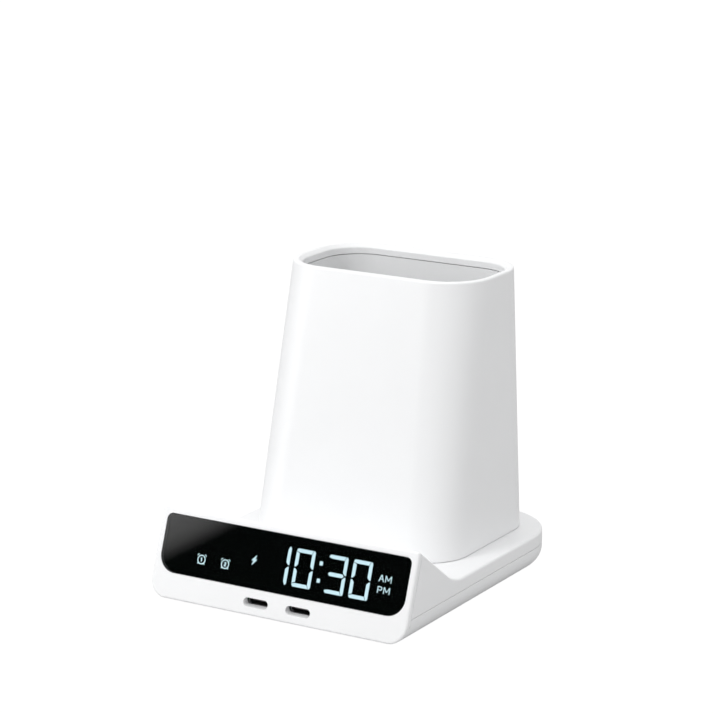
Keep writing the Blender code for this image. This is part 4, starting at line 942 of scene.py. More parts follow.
@dataclass
class BaseShells:
    """The base's shells: leaning bezel, upper housing and lower cover."""

    layout: Layout
    rear_radius: float = 26.0 * MM
    under_radius: float = 6.6 * MM
    lap_skin: float = 1.0 * MM
    lap_height: float = 1.6 * MM
    lap_gap: float = 0.3 * MM
    tongue_gap: float = 0.6 * MM
    panel_rim: float = 0.12 * MM
    seam_rim: float = 0.10 * MM
    hole_rim: float = 0.14 * MM
    under_rim: float = 0.15 * MM
    window_side: float = 2.5 * MM
    window_low: float = 9.4 * MM
    window_top: float = 2.6 * MM
    window_radii: Pair = (6.5 * MM, 2.2 * MM)
    recess: float = 1.6 * MM
    light_low: float = 11.2 * MM
    light_top: float = 5.1 * MM
    light_side: float = 6.5 * MM
    light_radius: float = 0.4 * MM
    case_screw_side: float = 12.0 * MM
    case_screw_front: float = 24.0 * MM
    case_screw_rear: float = 33.2 * MM
    pillar_low: float = 6.5 * MM
    pillar_radius: float = 3.0 * MM
    pilot_radius: float = 1.4 * MM
    pilot_low: float = 2.0 * MM
    pilot_roof: float = 1.2 * MM
    boss_high: float = 6.2 * MM
    boss_radius: float = 3.8 * MM
    shank_high: float = 8.0 * MM
    counterbore: float = 3.2 * MM
    counterbore_radius: float = 2.3 * MM
    pad_side: float = 1.2 * MM
    pad_low: float = 0.35 * MM
    pad_high: float = 0.8 * MM
    wire_slot: Pair = (12.0 * MM, 6.0 * MM)
    wire_slot_x: float = -10.0 * MM
    wire_slot_back: float = 7.8 * MM
    foot_side: Pair = (15.0 * MM, 19.0 * MM)
    foot_end: Pair = (11.0 * MM, 17.2 * MM)
    foot_recess: float = 0.8 * MM
    foot_recess_radius: float = 5.75 * MM
    button_gap: float = 0.2 * MM

    def profile(self, wall: float, face: float) -> list[Vector]:
        """Return the side view's corners.

        Args:
            wall: how far the sides are moved in.
            face: how far the leaning face is moved in.

        Returns:
            The corners as pairs of Y and Z.
        """
        lay = self.layout
        sides = [((lay.front, lay.underside), (1.0, 0.0), wall),
                 ((lay.rear, lay.underside), (0.0, 1.0), wall),
                 ((lay.rear, lay.top_z), (-1.0, 0.0), wall),
                 ((lay.front + lay.hollow, lay.top_z),
                  (-math.cos(lay.slope), math.sin(lay.slope)), wall),
                 ((lay.front, lay.underside), (-math.sin(lay.lean), -math.cos(lay.lean)), face)]
        lines = [(Vector(start) + inset * Vector((-along[1], along[0])), Vector(along))
                 for start, along, inset in sides]
        corners = []
        for index, (point, along) in enumerate(lines):
            other, direction = lines[index - 1]
            reach = (other - point).cross(direction) / along.cross(direction)
            corners.append(point + along * reach)
        return corners

    def block(self, wall: float = 0.0, face: float = 0.0) -> Form:
        """Return the whole base as one solid, drawn in by a wall.

        Args:
            wall: how far its sides, top and bottom are drawn in.
            face: how far its leaning face is drawn in.

        Returns:
            The solid.
        """
        lay = self.layout
        corners = self.profile(wall, face)
        half = lay.width / 2 - wall
        form = Form()
        radii = [0.0, 0.0, 0.0, lay.trough + wall, 0.0]
        side = form.outline([(-half, y, z) for y, z in corners], radii, 10)
        form.pull([side], (2 * half, 0.0, 0.0))
        rear, low, nose = corners[1].x, corners[1].y, corners[0].x
        form.bevel_where(lambda edge: lies_at(edge, 1, rear)
                         and abs(edge.verts[0].co.x - edge.verts[1].co.x) < NEAR,
                         self.rear_radius - wall, 24)
        form.bevel_where(lambda edge: lies_at(edge, 2, low) and not lies_at(edge, 1, nose),
                         self.under_radius - wall, 10)
        if wall == 0:
            form.bevel_where(lambda edge: edge.calc_face_angle(0.0) > SHARP, lay.edge, 4)
        return form

    def split(self, form: Form, gap: float, side: int, rim: float = 0.0) -> Form:
        """Cut a form along the bezel's back.

        Args:
            form: the form.
            gap: how far behind the bezel the cut lies.
            side: 1 to cut off what lies in front, -1 for what lies behind.
            rim: the radius of the cut's edge.

        Returns:
            The form.
        """
        face = self.layout.face
        outward = face.to_3x3() @ Vector((0.0, 0.0, side))
        form.clip(face @ Vector((0.0, 0.0, -self.layout.panel - gap)), outward, rim)
        return form

    def window_plate(self, margin: float, low: float, high: float) -> tuple[Form, BMFace]:
        """Return a plate with the window's outline.

        Args:
            margin: how far the outline is grown all round.
            low: the height of its lower side over the face.
            high: the height of its upper side.

        Returns:
            The plate and its upper face.
        """
        form, lay = Form(), self.layout
        corners = box_corners(lay.width - 2 * self.window_side + 2 * margin,
                              self.window_low - margin, lay.face_height - self.window_top + margin)
        under, over = (radius + margin for radius in self.window_radii)
        return form, form.plate(corners, low, high, [under, under, over, over], 16)

    @property
    def case_screws(self) -> list[Pair]:
        """Find the screws that hold the shells together.

        Returns:
            Their places.
        """
        lay = self.layout
        reach = lay.width / 2 - self.case_screw_side
        depths = (lay.front + self.case_screw_front, lay.rear - self.case_screw_rear)
        return [(side * reach, y) for side in (-1, 1) for y in depths]

    @property
    def feet(self) -> dict[str, Pair]:
        """Find the rubber feet.

        Returns:
            Their places by name.
        """
        lay = self.layout
        half = lay.width / 2
        ends = {"front": (half - self.foot_side[0], lay.front + self.foot_end[0]),
                "rear": (half - self.foot_side[1], lay.rear - self.foot_end[1])}
        return {end + "_" + hand: (sign * reach, y) for end, (reach, y) in ends.items()
                for hand, sign in (("left", -1), ("right", 1))}

    def bezel(self) -> bpy.types.Object:
        """Build the leaning bezel with its window recess and socket slots.

        Returns:
            The piece.
        """
        lay = self.layout
        piece = self.split(self.block(), 0.0, -1, self.panel_rim).to_object("bezel")
        recess, _ = self.window_plate(lay.joint, -self.recess, OVERRUN)
        opening, slots = Form(), Form()
        opening.plate(box_corners(lay.width - 2 * self.light_side, self.light_low,
                                  lay.face_height - self.light_top),
                      -lay.panel - OVERRUN, -self.recess + OVERRUN, [self.light_radius] * 4, 4)
        reach = (lay.port_spacing + lay.port_slot[0]) / 2 + self.pad_side
        half = lay.port_slot[1] / 2
        pad = Form().box((lay.port_centre - reach, -half - self.pad_low, -lay.port_tunnel),
                         (lay.port_centre + reach, half + self.pad_high, -lay.panel / 2))
        for x in lay.ports:
            slots.slot_plate((x, 0.0), lay.port_slot, -lay.port_tunnel - OVERRUN, 4 * OVERRUN)
        carve(piece, recess, place=lay.face)
        carve(piece, opening, place=lay.face)
        carve(piece, pad, Cut.ONTO, lay.front_ports)
        carve(piece, slots, place=lay.front_ports)
        ease(piece, on_plane(lay.face), self.hole_rim, 3)
        return settle(piece)

    def housing(self) -> bpy.types.Object:
        """Build the upper shell: lip, trough, flat, lap rebate, pillars, bores and wire slot.

        Returns:
            The piece.
        """
        lay = self.layout
        form = self.split(self.block(), lay.joint, 1, self.panel_rim)
        form.clip((0.0, 0.0, lay.seam_z + lay.joint / 2), BELOW, self.seam_rim)
        piece = form.to_object("upper_housing")
        rebate = self.block(self.lap_skin, -OVERRUN)
        rebate.clip((0.0, 0.0, lay.underside + lay.wall), BELOW)
        rebate.clip((0.0, 0.0, lay.seam_z + self.lap_height + self.lap_gap), ABOVE)
        pillars = Form()
        for at in self.case_screws:
            pillars.bars([at], lay.underside + self.pillar_low, self.under_roof(at[1]),
                         self.pillar_radius)
        bores = Form().bars(self.case_screws, lay.seam_z - self.pilot_low,
                            lay.top_z - self.pilot_roof, self.pilot_radius)
        ceiling, over = lay.top_z - lay.wall - OVERRUN, lay.top_z + OVERRUN
        bores.bars(screw_places("stand_screw", lay.stand_screws), ceiling, over, self.pilot_radius)
        half, reach = self.wire_slot[0] / 2, self.wire_slot[1] / 2
        middle = lay.front + lay.stand_front + self.wire_slot_back
        slot = Form().box((self.wire_slot_x - half, middle - reach, ceiling),
                          (self.wire_slot_x + half, middle + reach, over))
        for tool, kind in ((self.block(lay.wall, -OVERRUN), Cut.AWAY), (rebate, Cut.AWAY),
                           (pillars, Cut.ONTO), (bores, Cut.AWAY), (slot, Cut.AWAY)):
            carve(piece, tool, kind)
        return settle(piece)

    def under_roof(self, y: float) -> float:
        """Find how high a pillar reaches into the upper shell's wall.

        Args:
            y: the pillar's depth.

        Returns:
            A height inside the wall.
        """
        lay = self.layout
        behind = y + self.pillar_radius - lay.front - lay.crest
        slope = lay.underside + lay.lip - behind * math.tan(lay.slope)
        return max(slope, lay.top_z) - lay.wall / 2

    def cover(self) -> bpy.types.Object:
        """Build the lower shell: lap tongue, bosses, bores, foot recesses and rear openings.

        Returns:
            The piece.
        """
        lay, base = self.layout, self.layout.underside
        form = self.split(self.block(), lay.joint, 1, self.panel_rim)
        form.clip((0.0, 0.0, lay.seam_z - lay.joint / 2), ABOVE, self.seam_rim)
        piece = form.to_object("lower_cover")
        tongue = self.split(self.block(self.lap_skin + self.lap_gap), self.tongue_gap, 1)
        tongue.clip((0.0, 0.0, lay.seam_z - self.lap_height), BELOW)
        tongue.clip((0.0, 0.0, lay.seam_z + self.lap_height), ABOVE)
        for tool, kind in (
                (tongue, Cut.ONTO),
                (self.block(lay.wall, -OVERRUN), Cut.AWAY),
                (Form().bars(self.case_screws, base + lay.wall / 2, base + self.boss_high,
                             self.boss_radius), Cut.ONTO),
                (Form().bars(self.case_screws, 0.0, base + self.counterbore,
                             self.counterbore_radius, 48), Cut.AWAY),
                (Form().bars(self.case_screws, base + lay.wall, base + self.shank_high,
                             self.pilot_radius), Cut.AWAY),
                (Form().bars(self.feet.values(), 0.0, base + self.foot_recess,
                             self.foot_recess_radius, 64), Cut.AWAY)):
            carve(piece, tool, kind)
        carve(piece, self.rear_openings(), place=lay.rear_wall)
        ease(piece, on_plane(Matrix.Translation((0.0, 0.0, base))), self.under_rim, 2)
        ease(piece, on_plane(lay.rear_wall), self.hole_rim, 3)
        return settle(piece)

    def rear_openings(self) -> Form:
        """Form what opens the rear wall for the inlet and the buttons.

        Returns:
            The tools, in the rear wall's own axes.
        """
        lay = self.layout
        holes = [((-lay.inlet, 0.0), lay.socket, lay.socket_gap)]
        holes += [((-button.x, button.height - lay.port_height), button.size, self.button_gap)
                  for button in CLOCK_BUTTONS]
        form = Form()
        for centre, (width, height), gap in holes:
            form.slot_plate(centre, (width + 2 * gap, height + 2 * gap),
                            -lay.wall - 4 * OVERRUN, 2 * OVERRUN)
        return form

    def build(self, wardrobe: Wardrobe, finishes: Finishes) -> None:
        """Build, dress and place the three shells.

        Args:
            wardrobe: what dresses them.
            finishes: the finishes to choose from.
        """
        for piece, node in ((self.bezel(), "front_panel"), (self.housing(), "base_housing"),
                            (self.cover(), "bottom_cover")):
            wardrobe.place(piece, finishes.shell, node)


# Clock


GLYPHS: dict[str, list[list[Pair]]] = {
    "A": [[(-1.08, -1.15), (-0.22, 1.15), (0.22, 1.15), (1.08, -1.15), (0.72, -1.15), (0.0, 0.72),
           (-0.72, -1.15)],
          [(-0.439, -0.42), (0.439, -0.42), (0.331, -0.14), (-0.331, -0.14)]],
    "M": [[(-1.25, -1.15), (-1.25, 1.15), (-0.90, 1.15), (0.0, -0.25), (0.90, 1.15), (1.25, 1.15),
           (1.25, -1.15), (0.92, -1.15), (0.92, 0.62), (0.12, -0.62), (-0.12, -0.62), (-0.92, 0.62),
           (-0.92, -1.15)]],
    "P": [[(-0.90, -1.15), (-0.56, -1.15), (-0.56, 1.15), (-0.90, 1.15)],
          [(-0.56, 0.85), (0.30, 0.85), (0.52, 0.74), (0.60, 0.45), (0.52, 0.16), (0.30, 0.05),
           (-0.56, 0.05), (-0.56, -0.25), (0.35, -0.25), (0.72, -0.12), (0.92, 0.15), (0.96, 0.45),
           (0.92, 0.75), (0.72, 1.02), (0.35, 1.15), (-0.56, 1.15)]],
    "1": [[(-0.44, 0.36), (-0.28, 0.16), (-0.12, 0.36), (-0.12, -0.80), (0.22, -0.80), (0.22, 0.80),
           (-0.05, 0.80)]],
    "2": [[(-0.55, -0.80), (0.54, -0.80), (0.54, -0.50), (-0.05, -0.50), (0.40, 0.05), (0.52, 0.32),
           (0.45, 0.62), (0.18, 0.80), (-0.14, 0.80), (-0.42, 0.66), (-0.54, 0.42), (-0.24, 0.34),
           (-0.18, 0.46), (-0.04, 0.53), (0.12, 0.48), (0.18, 0.32), (0.10, 0.14), (-0.55, -0.56)]],
    "bolt": [[(0.60, 1.72), (-1.18, -0.22), (-0.32, -0.30), (-0.80, -1.70), (-0.62, -1.76),
              (1.18, 0.30), (0.38, 0.38), (0.80, 1.62)]],
}


@dataclass
class ClockDisplay:
    """The smoked window with the mask and the lit signs close behind it."""

    layout: Layout
    shells: BaseShells
    thickness: float = 1.3 * MM
    window_edge: float = 0.12 * MM
    mask_depth: float = 1.33 * MM
    mask_thickness: float = 0.2 * MM
    mask_margin: float = -0.15 * MM
    sign_depth: float = 1.315 * MM
    sign_thickness: float = 0.1 * MM
    digit_cells: tuple[float, ...] = (-5.56 * MM, 4.09 * MM, 17.17 * MM, 26.86 * MM)
    digit_low: float = 12.83 * MM
    digit_width: float = 7.57 * MM
    digit_height: float = 13.19 * MM
    stroke: float = 1.30 * MM
    split: float = 0.30 * MM
    shoulder: float = 1.15 * MM
    colon: Pair = (14.43 * MM, 19.42 * MM)
    colon_size: Pair = (1.25 * MM, 1.38 * MM)
    colon_spread: float = 5.95 * MM
    half_day_columns: Pair = (38.5 * MM, 41.22 * MM)
    half_day_rows: Pair = (21.36 * MM, 17.46 * MM)
    alarm_places: tuple[Pair, Pair] = ((-33.43 * MM, 15.78 * MM), (-23.55 * MM, 15.78 * MM))
    alarm_radius: float = 1.63 * MM
    alarm_ring: float = 0.27 * MM
    alarm_ear: tuple[float, ...] = (math.radians(46.0), 2.16 * MM, 2.38 * MM, 0.98 * MM)
    alarm_foot: tuple[float, ...] = (math.radians(-47.0), 1.60 * MM, 2.16 * MM, 0.24 * MM)
    alarm_figure: float = 0.86 * MM
    charge_place: Pair = (-12.12 * MM, 19.15 * MM)

    def segments(self) -> dict[str, list[Pair]]:
        """Outline the seven segments.

        Returns:
            Each segment's corners, from the digit's lower left corner.
        """
        wide, high, stroke = self.digit_width, self.digit_height, self.stroke
        middle, over, half = high / 2, high - stroke, stroke / 2
        above, shoulder = middle + self.split, middle + self.shoulder
        shapes = {
            "a": [(0.02 * MM, high - 0.75 * MM), (0.55 * MM, high), (wide - 0.92 * MM, high),
                  (wide - stroke - 0.22 * MM, over), (1.45 * MM, over),
                  (0.2 * MM, high - 1.0 * MM)],
            "b": [(wide - stroke, over), (wide - 0.72 * MM, high), (wide - 0.40 * MM, high),
                  (wide, high - 0.60 * MM), (wide, above), (wide - 0.45 * MM, above),
                  (wide - stroke, shoulder)],
            "f": [(0.0, over + 0.12 * MM), (stroke - 0.12 * MM, over - 0.25 * MM),
                  (stroke, over - 0.42 * MM), (stroke, shoulder), (0.55 * MM, above),
                  (0.0, above)],
            "g": [(0.55 * MM, middle), (1.12 * MM, middle + half),
                  (wide - 1.42 * MM, middle + half), (wide - 0.80 * MM, middle),
                  (wide - 1.42 * MM, middle - half), (1.12 * MM, middle - half)]}
        for letter, other in (("d", "a"), ("c", "b"), ("e", "f")):
            shapes[letter] = [(u, high - v) for u, v in shapes[other]]
        return shapes

    def sign(self, form: Form, outline: Sequence[Sequence[float]]) -> None:
        """Add one flat lit sign."""
        back = -self.sign_depth - self.sign_thickness
        form.plate(outline, back, back + self.sign_thickness)

    def digits(self) -> bpy.types.Object:
        """Build the time and its colon.

        Returns:
            The piece.
        """
        form, shapes = Form(), self.segments()
        for left, lit in zip(self.digit_cells, ("bc", "abcdef", "abcdg", "abcdef")):
            for letter in lit:
                self.sign(form, [(left + u, self.digit_low + v) for u, v in shapes[letter]])
        for step in (-1, 1):
            middle, half = self.colon[1] + step * self.colon_spread / 2, self.colon_size[1] / 2
            self.sign(form, box_corners(self.colon_size[0], middle - half, middle + half,
                                        self.colon[0]))
        return form.to_object("clock_digits", self.layout.face)

    def glyph(self, form: Form, text: str, at: Sequence[float], size: float = MM) -> None:
        """Add a letter, figure or bolt, its middle at a place on the face."""
        for outline in GLYPHS[text]:
            self.sign(form, [(at[0] + size * u, at[1] + size * v) for u, v in outline])

    def half_day(self) -> bpy.types.Object:
        """Build the two half-day signs.

        Returns:
            The piece.
        """
        form = Form()
        for letter, row in zip("AP", self.half_day_rows):
            for text, column in zip((letter, "M"), self.half_day_columns):
                self.glyph(form, text, (column, row))
        return form.to_object("half_day_signs", self.layout.face)

    def alarm_sign(self, form: Form, at: Vector, figure: str) -> None:
        """Add a small bell clock: a ring, two ears, two feet and a figure inside.

        Args:
            form: the form that it joins.
            at: its middle on the face.
            figure: the figure inside.
        """
        place = Matrix.Translation((*at, -self.sign_depth - self.sign_thickness))
        disc = bmesh.ops.create_circle(form.bm, cap_ends=True, segments=48,
                                       radius=self.alarm_radius, matrix=place)
        face = disc["verts"][0].link_faces[0]
        ring = form.inset(face, self.alarm_ring)
        bmesh.ops.delete(form.bm, geom=[face], context="FACES_ONLY")
        form.pull(ring, (0.0, 0.0, self.sign_thickness))
        for side in (-1, 1):
            for turn, near, far, width in (self.alarm_ear, self.alarm_foot):
                out = Vector((side * math.cos(turn), math.sin(turn)))
                across = Vector((-out.y, out.x)) * (width / 2)
                first, last = at + out * near, at + out * far
                self.sign(form, [first - across, last - across, last + across, first + across])
        self.glyph(form, figure, at, self.alarm_figure)

    def alarms(self) -> bpy.types.Object:
        """Build the two alarm signs.

        Returns:
            The piece.
        """
        form = Form()
        for at, figure in zip(self.alarm_places, ("1", "2")):
            self.alarm_sign(form, Vector(at), figure)
        return form.to_object("alarm_signs", self.layout.face)

    def charge(self) -> bpy.types.Object:
        """Build the charging bolt.

        Returns:
            The piece.
        """
        form = Form()
        self.glyph(form, "bolt", self.charge_place)
        return form.to_object("charge_sign", self.layout.face)

    def mask(self) -> bpy.types.Object:
        """Build the black sheet close behind the lit signs.

        Returns:
            The piece.
        """
        form, _ = self.shells.window_plate(self.mask_margin, -self.mask_depth
                                           - self.mask_thickness, -self.mask_depth)
        return form.to_object("window_mask", self.layout.face)

    def window(self) -> bpy.types.Object:
        """Build the smoked window.

        Returns:
            The piece.
        """
        form, outer = self.shells.window_plate(0.0, -self.thickness, 0.0)
        form.bevel(outer.edges, self.window_edge, 3)
        return settle(form.to_object("window_pane", self.layout.face))

    def build(self, wardrobe: Wardrobe, finishes: Finishes) -> None:
        """Build, dress and place the clock's visible parts.

        Args:
            wardrobe: what dresses them.
            finishes: the finishes to choose from.
        """
        wardrobe.place(self.window(), finishes.window, "clock_window")
        wardrobe.place(self.mask(), finishes.mask, "segment_film")
        wardrobe.place(self.alarms(), finishes.fine_lit)
        for piece in (self.digits(), self.half_day(), self.charge()):
            wardrobe.place(piece, finishes.lit)


# Sockets and buttons


@dataclass
class Socket:
    """A charging socket: pressed shell, contact tongue and its contacts."""

    name: str
    x: float
    recess: float
    place: Matrix
    layout: Layout
    length: float = 7.3 * MM
    wall: float = 0.3 * MM
    tongue: Pair = (6.7 * MM, 0.7 * MM)
    tongue_recess: float = 1.0 * MM
    tongue_back: float = 0.2 * MM
    tongue_edge: float = 0.12 * MM
    contacts: int = 12
    contact_share: float = 0.6
    contact_margin: float = 0.3 * MM
    contact_recess: float = 0.35 * MM
    contact_length: float = 3.4 * MM
    contact_sunk: float = 0.03 * MM
    contact_proud: float = 0.02 * MM

    def shell(self) -> bpy.types.Object:
        """Build the pressed shell with its closed back.

        Returns:
            The piece.
        """
        form = Form()
        mouth = form.slot_plate((self.x, 0.0), self.layout.socket, -self.recess - self.length,
                                -self.recess)
        form.inset(mouth, self.wall)
        form.pull([mouth], (0.0, 0.0, -self.length + self.wall))
        return settle(form.to_object(self.name + "_sleeve", self.place))

    def blade(self) -> bpy.types.Object:
        """Build the tongue with its eased lip.

        Returns:
            The piece.
        """
        width, half = self.tongue[0], self.tongue[1] / 2
        back = -self.recess - self.length + self.wall + self.tongue_back
        form = Form()
        face = form.plate(box_corners(width, -half, half, self.x), back,
                          -self.recess - self.tongue_recess, [self.tongue_edge] * 4, 3)
        form.bevel(face.edges, self.tongue_edge, 2)
        return settle(form.to_object(self.name + "_blade", self.place))

    def pads(self) -> bpy.types.Object:
        """Build the rows of contacts on both sides of the tongue.

        Returns:
            The piece.
        """
        width, surface = self.tongue[0], self.tongue[1] / 2
        front = -self.recess - self.tongue_recess - self.contact_recess
        pitch = (width - 2 * self.contact_margin) / self.contacts
        half = self.contact_share * pitch / 2
        start = self.x - width / 2 + self.contact_margin
        form = Form()
        for side in (-1, 1):
            low, high = sorted((side * (surface - self.contact_sunk),
                                side * (surface + self.contact_proud)))
            for number in range(self.contacts):
                middle = start + pitch * (number + 0.5)
                form.box((middle - half, low, front - self.contact_length),
                         (middle + half, high, front))
        return form.to_object(self.name + "_contacts", self.place)

    def build(self, wardrobe: Wardrobe, finishes: Finishes) -> None:
        """Build, dress and place the socket.

        Args:
            wardrobe: what dresses it.
            finishes: the finishes to choose from.
        """
        wardrobe.place(self.shell(), finishes.socket, self.name + "_shell")
        wardrobe.place(self.blade(), finishes.tongue, self.name + "_tongue")
        wardrobe.place(self.pads(), finishes.contact)


@dataclass(frozen=True)
class ClockButton:
    """A setting button in the rear wall, with its flange and stem."""

    body: Body
    x: float
    size: Pair = (7.0 * MM, 3.0 * MM)
    height: float = 5.6 * MM
    edge: float = 0.3 * MM
    flange: float = 0.8 * MM
    flange_gap: float = 2.1 * MM
    flange_thickness: float = 1.0 * MM
    stem: float = 1.0 * MM

    def build(self, layout: Layout, wardrobe: Wardrobe, finishes: Finishes) -> None:
        """Build, dress and place the button.

        Args:
            layout: the shared sizes.
            wardrobe: what dresses it.
            finishes: the finishes to choose from.
        """
        name, axis = self.body.value, layout.underside + self.height
        place = frame_at((self.x, layout.rear, axis), LEFTWARD, ABOVE)
        inner = -layout.wall - self.flange_gap
        form, flange = Form(), Form()
        crown = form.slot_plate((0.0, 0.0), self.size, inner - OVERRUN, layout.button_proud)
        form.bevel(crown.edges, self.edge, 5)
        flange.slot_plate((0.0, 0.0), tuple(side + 2 * self.flange for side in self.size),
                          inner - self.flange_thickness, inner)
        low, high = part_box(name.replace("button", "switch"))
        stem = Form().bars([(0.0, (low.z + high.z) / 2 - axis)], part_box(name)[0].y - layout.rear,
                           inner - OVERRUN, self.stem)
        piece = form.to_object(name + "_cap", place)
        carve(piece, flange, Cut.ONTO, place)
        carve(piece, stem, Cut.ONTO, place)
        wardrobe.place(settle(piece), finishes.button, name, body=self.body)


CLOCK_BUTTONS = (ClockButton(Body.MODE, 1.0 * MM), ClockButton(Body.DOWN, 10.4 * MM),
                 ClockButton(Body.UP, 19.8 * MM))


# Cup body


@dataclass(frozen=True)
class Plan:
    """A level outline with four equal round corners."""

    height: float
    half: float
    front: float
    rear: float
    radius: float

    def drawn_in(self, inset: float, height: float) -> "Plan":
        """Return the outline drawn in by an inset, at a height."""
        return Plan(height, self.half - inset, self.front + inset, self.rear - inset,
                    self.radius - inset)

    def ring(self, form: Form) -> list[BMEdge]:
        """Add the outline to a form.

        Args:
            form: the form.

        Returns:
            The outline's edges.
        """
        corners = box_corners(2 * self.half, self.front, self.rear)
        face = form.outline([(x, y, self.height) for x, y in corners], [self.radius] * 4,
                            PLAN_STEPS)
        edges = list(face.edges)
        bmesh.ops.delete(form.bm, geom=[face], context="FACES_ONLY")
        return edges

    def holds(self, edge: BMEdge) -> bool:
        """Say whether an edge lies on the outline.

        Args:
            edge: the edge.

        Returns:
            Whether it does.
        """
        middle = (edge.verts[0].co + edge.verts[1].co) / 2
        side = min(abs(abs(middle.x) - self.half), abs(middle.y - self.front),
                   abs(middle.y - self.rear))
        return lies_at(edge, 2, self.height) and (side < 5 * NEAR or self.on_arc(middle))

    def on_arc(self, point: Vector) -> bool:
        """Say whether a point lies on one of the corner arcs.

        Args:
            point: the point.

        Returns:
            Whether it does.
        """
        beyond = abs(point.x) - self.half + self.radius
        for sign, y in ((1, self.front + self.radius), (-1, self.rear - self.radius)):
            off = abs(Vector((beyond, point.y - y)).length - self.radius)
            if off < ARC_SLACK and (y - point.y) * sign > 0 and beyond > 0:
                return True
        return False


@dataclass
class CupBody:
    """The drafted cup body with its leaning charging wall, and the liner inside it."""

    layout: Layout
    gap: float = 0.16 * MM
    rim_height: float = 109.2 * MM
    side_margin: float = 9.7 * MM
    side_draft: float = 2.6 * MM
    rear_draft: float = 0.9 * MM
    rim_depth: float = 46.8 * MM
    foot_share: float = 0.378
    rim_share: float = 0.448
    wall: float = 1.8 * MM
    edge: float = 0.7 * MM
    soft_edge: float = 0.3 * MM
    foot_edge: float = 0.14 * MM
    hard: float = math.radians(20.0)
    land: float = 1.9 * MM
    band: float = 3.3 * MM
    band_height: float = 3.6 * MM
    undercut: float = 0.1 * MM
    chamfer: float = 1.3 * MM
    liner_wall: float = 1.2 * MM
    liner_floor: float = 2.0 * MM
    liner_draft: float = 1.0 * MM
    liner_gap: float = 0.3 * MM
    liner_fillet: float = 2.5 * MM
    pillar: float = 3.3 * MM
    pillar_radius: float = 3.2 * MM
    pilot_radius: float = 1.4 * MM
    pilot_roof: float = 0.9 * MM

    @property
    def rim_z(self) -> float:
        """Height of the rim."""
        return self.layout.underside + self.rim_height

    @property
    def rim_half(self) -> float:
        """Half the rim's width."""
        return self.layout.width / 2 - self.side_margin - self.side_draft

    def section(self, height: float) -> Plan:
        """Return the cup's outline at a height.

        Args:
            height: where it is taken.

        Returns:
            The outline.
        """
        lay = self.layout
        foot = lay.top_z + lay.stand_lift
        share = (height - foot) / (self.rim_z - foot)
        half = self.rim_half + self.side_draft
        front = lay.stand_front
        rear = front + lay.stand_depth
        rim_rear = rear - self.rear_draft
        ends = ((half, self.rim_half), (front, rim_rear - self.rim_depth), (rear, rim_rear),
                (self.foot_share * half, self.rim_share * self.rim_half))
        half, front, rear, radius = (low + (high - low) * share for low, high in ends)
        return Plan(height, half, lay.front + front, lay.front + rear, radius)

    def shell(self) -> bpy.types.Object:
        """Build the cup body with its rounded rim, inner chamfer and band.

        Returns:
            The piece.
        """
        foot_z = self.layout.top_z + self.gap
        under_band = self.rim_z - self.band_height - self.undercut
        rim, foot = self.section(self.rim_z), self.section(foot_z)
        land = rim.drawn_in(self.land, self.rim_z)
        chamfer = rim.drawn_in(self.band, self.rim_z - self.chamfer)
        plans = (foot, rim, land, chamfer,
                 rim.drawn_in(self.band, self.rim_z - self.band_height),
                 self.section(under_band).drawn_in(self.wall, under_band),
                 foot.drawn_in(self.wall, foot_z))
        form = Form()
        loops = [plan.ring(form) for plan in plans]
        form.bridge(loops + [loops[0]])
        hard = [edge for edge in form.bm.edges if edge.calc_face_angle(0.0) > self.hard]
        groups = (((rim,), self.edge, 6), ((land, chamfer), self.soft_edge, 4),
                  ((foot,), self.foot_edge, 2))
        picked = [[edge for edge in hard if any(plan.holds(edge) for plan in group)]
                  for group, _, _ in groups]
        for edges, (_, radius, steps) in zip(picked, groups):
            form.bevel([edge for edge in edges if edge.is_valid], radius, steps)
        return settle(form.to_object("cup_body"))

    def liner(self) -> bpy.types.Object:
        """Build the liner: a thin cup with a rounded floor, on four screw pillars.

        Returns:
            The piece.
        """
        lay = self.layout
        low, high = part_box("cup_liner")
        top = self.rim_z - self.band_height - self.liner_gap
        foot = lay.top_z + lay.stand_lift
        floor_low = foot + self.pillar
        floor_high = floor_low + self.liner_floor
        radius = self.rim_share * self.rim_half - self.band + self.liner_wall
        outside = Plan(top, high.x, low.y, high.y, radius)
        form = Form()
        loops = [outside.drawn_in(inset, height).ring(form) for inset, height in (
            (self.liner_draft, floor_low), (0.0, top), (self.liner_wall, top),
            (self.liner_wall + self.liner_draft, floor_high))]
        form.bridge(loops)
        form.cap(loops[0])
        form.bevel(form.cap(loops[3]).edges, self.liner_fillet, 8)
        piece = form.to_object("pen_liner")
        places = screw_places("stand_screw", lay.stand_screws)
        carve(piece, Form().bars(places, foot, floor_low + self.liner_floor / 2,
                                 self.pillar_radius, 48), Cut.ONTO)
        carve(piece, Form().bars(places, foot - OVERRUN, floor_high - self.pilot_roof,
                                 self.pilot_radius))
        return settle(piece)

    def build(self, wardrobe: Wardrobe, finishes: Finishes) -> None:
        """Build, dress and place the cup body and its liner."""
        wardrobe.place(self.shell(), finishes.shell, "stand_shell")
        wardrobe.place(self.liner(), finishes.inner, "cup_liner")


# Underside and insides


